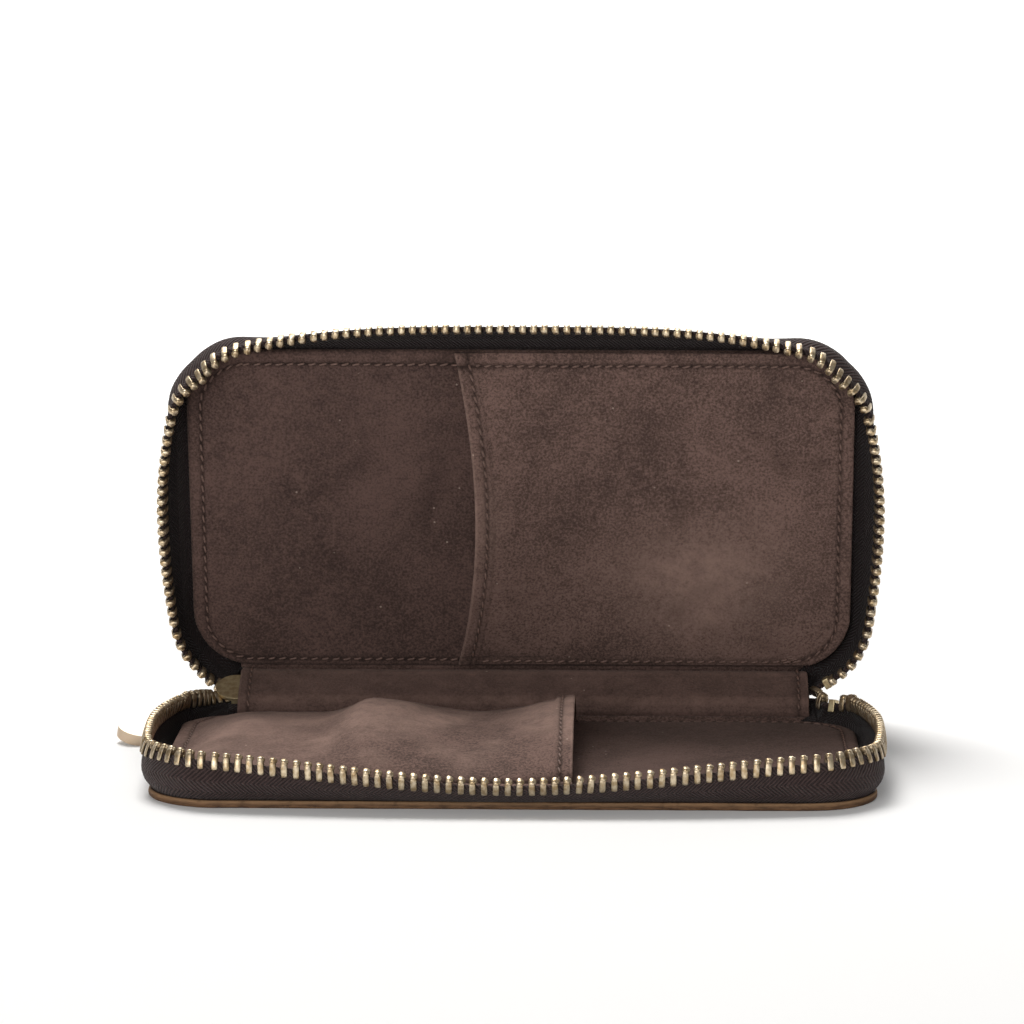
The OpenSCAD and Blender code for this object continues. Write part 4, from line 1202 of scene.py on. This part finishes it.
def band(line, thickness):
    """A closed outline round a bent line in the Y and Z plane."""
    left, right = [], []
    for i, (y, z) in enumerate(line):
        a, b = line[max(0, i - 1)], line[min(len(line) - 1, i + 1)]
        d = Vector((b[0] - a[0], b[1] - a[1])).normalized()
        left.append((y - d.y * thickness / 2, z + d.x * thickness / 2))
        right.append((y + d.y * thickness / 2, z - d.x * thickness / 2))
    return left + right[::-1]


def smooth_line(points, n=12):
    """A soft curve through a few points in the Y and Z plane."""
    out, steps = [], n // (len(points) - 1)
    for i in range(len(points) - 1):
        around = (points[max(0, i - 1)], points[i], points[i + 1], points[min(len(points) - 1, i + 2)])
        for t in [j / steps for j in range(steps)]:
            out.append(tuple(0.5 * (2 * b + (c - a) * t + (2 * a - 5 * b + 4 * c - d) * t * t +
                                    (3 * b - a - 3 * c + d) * t ** 3) for a, b, c, d in zip(*around)))
    return out + [points[-1]]


def fold_strip(name, finish, thickness, cut, halves):
    """A strip through points of two bodies. Each half is (body, its points, a bend point that is not used).
    """
    line = [in_base(part, (0, y, z)).yz for part, points, bend in halves for y, z in points]
    made = make(name, loft(swept(band(smooth_line(line), thickness), *cut)), "base", finish, ride=False)
    bodies, (start, end) = zip(*[(part, in_base(part, (0, *bend))) for part, points, bend in halves])
    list(bodies)
    Vector(start) * MM
    Vector(end) * MM
    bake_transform(made)
    return made


folds = [
    fold_strip("low_fold_leather", leather, 1.4, (63.6, 3, 0.03, 3), (
        ("base", [(38.9, 0.72), (39.3, 0.74)], (39.1, 0.8)),
        ("spine", [(0.35, -0.02), (0.8, -0.04)], (0.6, 0)))),
    fold_strip("high_fold_leather", leather, 1.4, (63.6, 3, 0.03, 5), (
        ("spine", [(22.0, -0.04), (22.5, -0.03), (22.85, -0.05)], (22.2, 0)),
        ("lid", [(39.55, 0.5), (39.2, 0.76), (38.8, 0.78)], (39.1, 0.8)))),
    fold_strip("low_fold_suede", pocket_suede, 0.5, (62.8, 2, 0.07, 7), (
        ("base", [(36.9, 2.7), (37.75, 2.5), (38.7, 2.05)], (37.9, 2)),
        ("spine", [(0.6, 1.25), (2.2, 1.22), (3.3, 1.5)], (1.8, 1)))),
    fold_strip("high_fold_suede", pocket_suede, 0.5, (62.8, 2, 0.07, 9), (
        ("spine", [(19.5, 1.5), (20.9, 1.3), (21.9, 1.35)], (21.2, 1)),
        ("lid", [(38.4, 2.15), (37.8, 2.5), (36.9, 2.7)], (37.9, 2))))]
tell("folds", folds)

# %% [markdown]
# ## Thread
# Each stitch is a short length of thread that comes up from one hole and goes down the next.

# %% Stitches
# Place along the stitch from -1 to 1, height and radius.
STITCH = [(-0.98, -0.22, 0.1), (-0.9, 0.02, 0.19), (-0.6, 0.14, 0.24), (0, 0.18, 0.25), (0.6, 0.14, 0.24),
          (0.9, 0.02, 0.19), (0.98, -0.22, 0.1)]
STITCH_SIDES = 6
# Painted light of each point: dark low at the holes as shade, lighter on the thread's top as a highlight.
THREAD_PAINTED_LIGHT = [ease((h + 0.05) / 0.2) * (0.5 + 0.5 * math.sin(math.tau * j / STITCH_SIDES))
               for t, h, r in STITCH for j in range(STITCH_SIDES)]


def one_stitch(centre, along, normal, jitter, slant=0.24):
    side = normal.cross(along)
    along = (along + side * (slant + jitter.gauss(0, 0.04))).normalized()
    side = normal.cross(along)
    half = 0.95 + jitter.gauss(0, 0.03)
    centre = centre + side * jitter.gauss(0, 0.04)
    return loft([[centre + along * t * half + normal * (h + r * math.sin(q)) + side * r * math.cos(q)
                  for q in [math.tau * j / STITCH_SIDES for j in range(STITCH_SIDES)]] for t, h, r in STITCH])


def sew(name, part, lines, up=(0, 0, 1), pitch=2.4, seed=1):
    """Stitches along lines of points."""
    jitter, up, shapes = random.Random(seed), Vector(up), []
    for points in lines:
        points = [Vector(p) for p in points]
        for i, share in paces(points, pitch * 0.6, pitch):
            along = (points[i + 1] - points[i]).normalized()
            normal = (up - along * up.dot(along)).normalized()
            shapes.append(one_stitch(points[i].lerp(points[i + 1], share), along, normal, jitter))
    return make(name, joined(shapes), part, thread, {"painted_light": THREAD_PAINTED_LIGHT * len(shapes)})

# %% [markdown]
# The seams run round both linings, along both hems, under both covers, at the corner of the lid's
# lining and at the spine lining's ends.

# %% Seams
RING_COUNT = (130, 50, 14)


def seam_loop(part):
    over_at, points = MOUTHS[part] + 0.4 + POCKETS[part]["bow"], []
    for x, y in rounded(SEAM_X, SEAM_Y, SEAM_R, RING_COUNT):
        points.append((x, y + SEAM_MID, LINING_Z - 0.3 + 0.8 * ease((over_at - x) / 1.0)))
    return points + points[:1]


def hem_line(part):
    """The pocket's own points over its hem seam, without the borders."""
    top = pockets[part][1]
    middle = len(top[0]) // 2
    return min(top, key=lambda row: abs(row[middle][0] - (MOUTHS[part] - HEM_SEAM)))[3:-3]


def cover_loop(inset):
    outline = rounded(CASE_W / 2 - inset, CASE_D / 2 - inset, CORNER - inset, RING_COUNT)
    return [(x, y, 0.12) for x, y in outline + outline[:1]]


seams = []
for part in HALVES:
    seams.append(sew(part + "_lining_thread", part, [seam_loop(part)], seed=3))
    seams.append(sew(part + "_hem_thread", part, [hem_line(part)], seed=4))
    seams.append(sew(part + "_outer_thread", part, [cover_loop(5.1)], up=(0, 0, -1), pitch=2.9, seed=6))
backtack = [[(-62.5 + i * 0.5, 35.2 - i * 0.35, 4.35), (-58.8 + i * 0.4, 35.5 - i * 0.45, 4.35)]
            for i in range(4)]
seams.append(sew("backtack_thread", "lid", backtack, seed=8, pitch=2.2))
spine_lines = [[(x, y, z + 0.02) for y, z in both_sides(OUTER_HALF)[3:-3]]
               for x in (STITCH_LEFT, STITCH_RIGHT)]
seams.append(sew("spine_end_thread", "spine", spine_lines, seed=2))
tell("seams", seams)

# %% [markdown]
# ## Metal hardware
# The slider, its bail, the stops and the pull keep their CAD form. Their edges are rounded here. Behind
# the slider five teeth are meshed, alternately from each side.

# %% Hardware
SLIDER_TUCK, MESHED = 5.9, 5
TAB_SKEW, TAB_TILT = math.radians(228), math.radians(-16)
tab_up = SPINE.to_3x3() @ (Matrix.Rotation(TAB_SKEW, 3, "Z") @ Matrix.Rotation(TAB_TILT, 3, "Y") @
                           Vector((0, 0, 1)))
hardware = [soften("slider_body", "slider", 0.3, slider_brass, 3),
            soften("slider_bail", "slider", 0.2, slider_brass),
            soften("bottom_stop", "spine", 0.15, brass),
            soften("base_top_stop", "base", 0.2, slider_brass),
            soften("lid_top_stop", "lid", 0.2, slider_brass),
            # The pull's rim is painted darker as shade.
            soften("pull_tab", "pull", 0.55, tab_brass, 4, tab_up)]
first_meshed, chain_places = -LINING_END + SLIDER_TUCK - 0.9, []
for i in range(MESHED):
    half_turn = Matrix.Rotation(math.pi * (i % 2), 4, "Z")
    chain_places.append(Matrix.Translation((first_meshed - i * PITCH / 2, MID, CHAIN_Z)) @ half_turn @
                        Matrix.Translation((0, -(WALL_H + 1.6), 0)) @ Matrix.Rotation(-math.pi / 2, 4, "X") @
                        half_turn)
chain = teeth("chain_end_teeth", "spine", chain_places, random.Random(3))
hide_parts("chain_end")
tell("hardware", hardware + [chain])

# %% [markdown]
# ## The hidden CAD nodes
# The CAD nodes that stay hidden get their own finish too.

# %% End
for name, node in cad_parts.items():
    finish = board if name.endswith("board") else brass
    node.data.materials.clear()
    node.data.materials.append(finish.material)
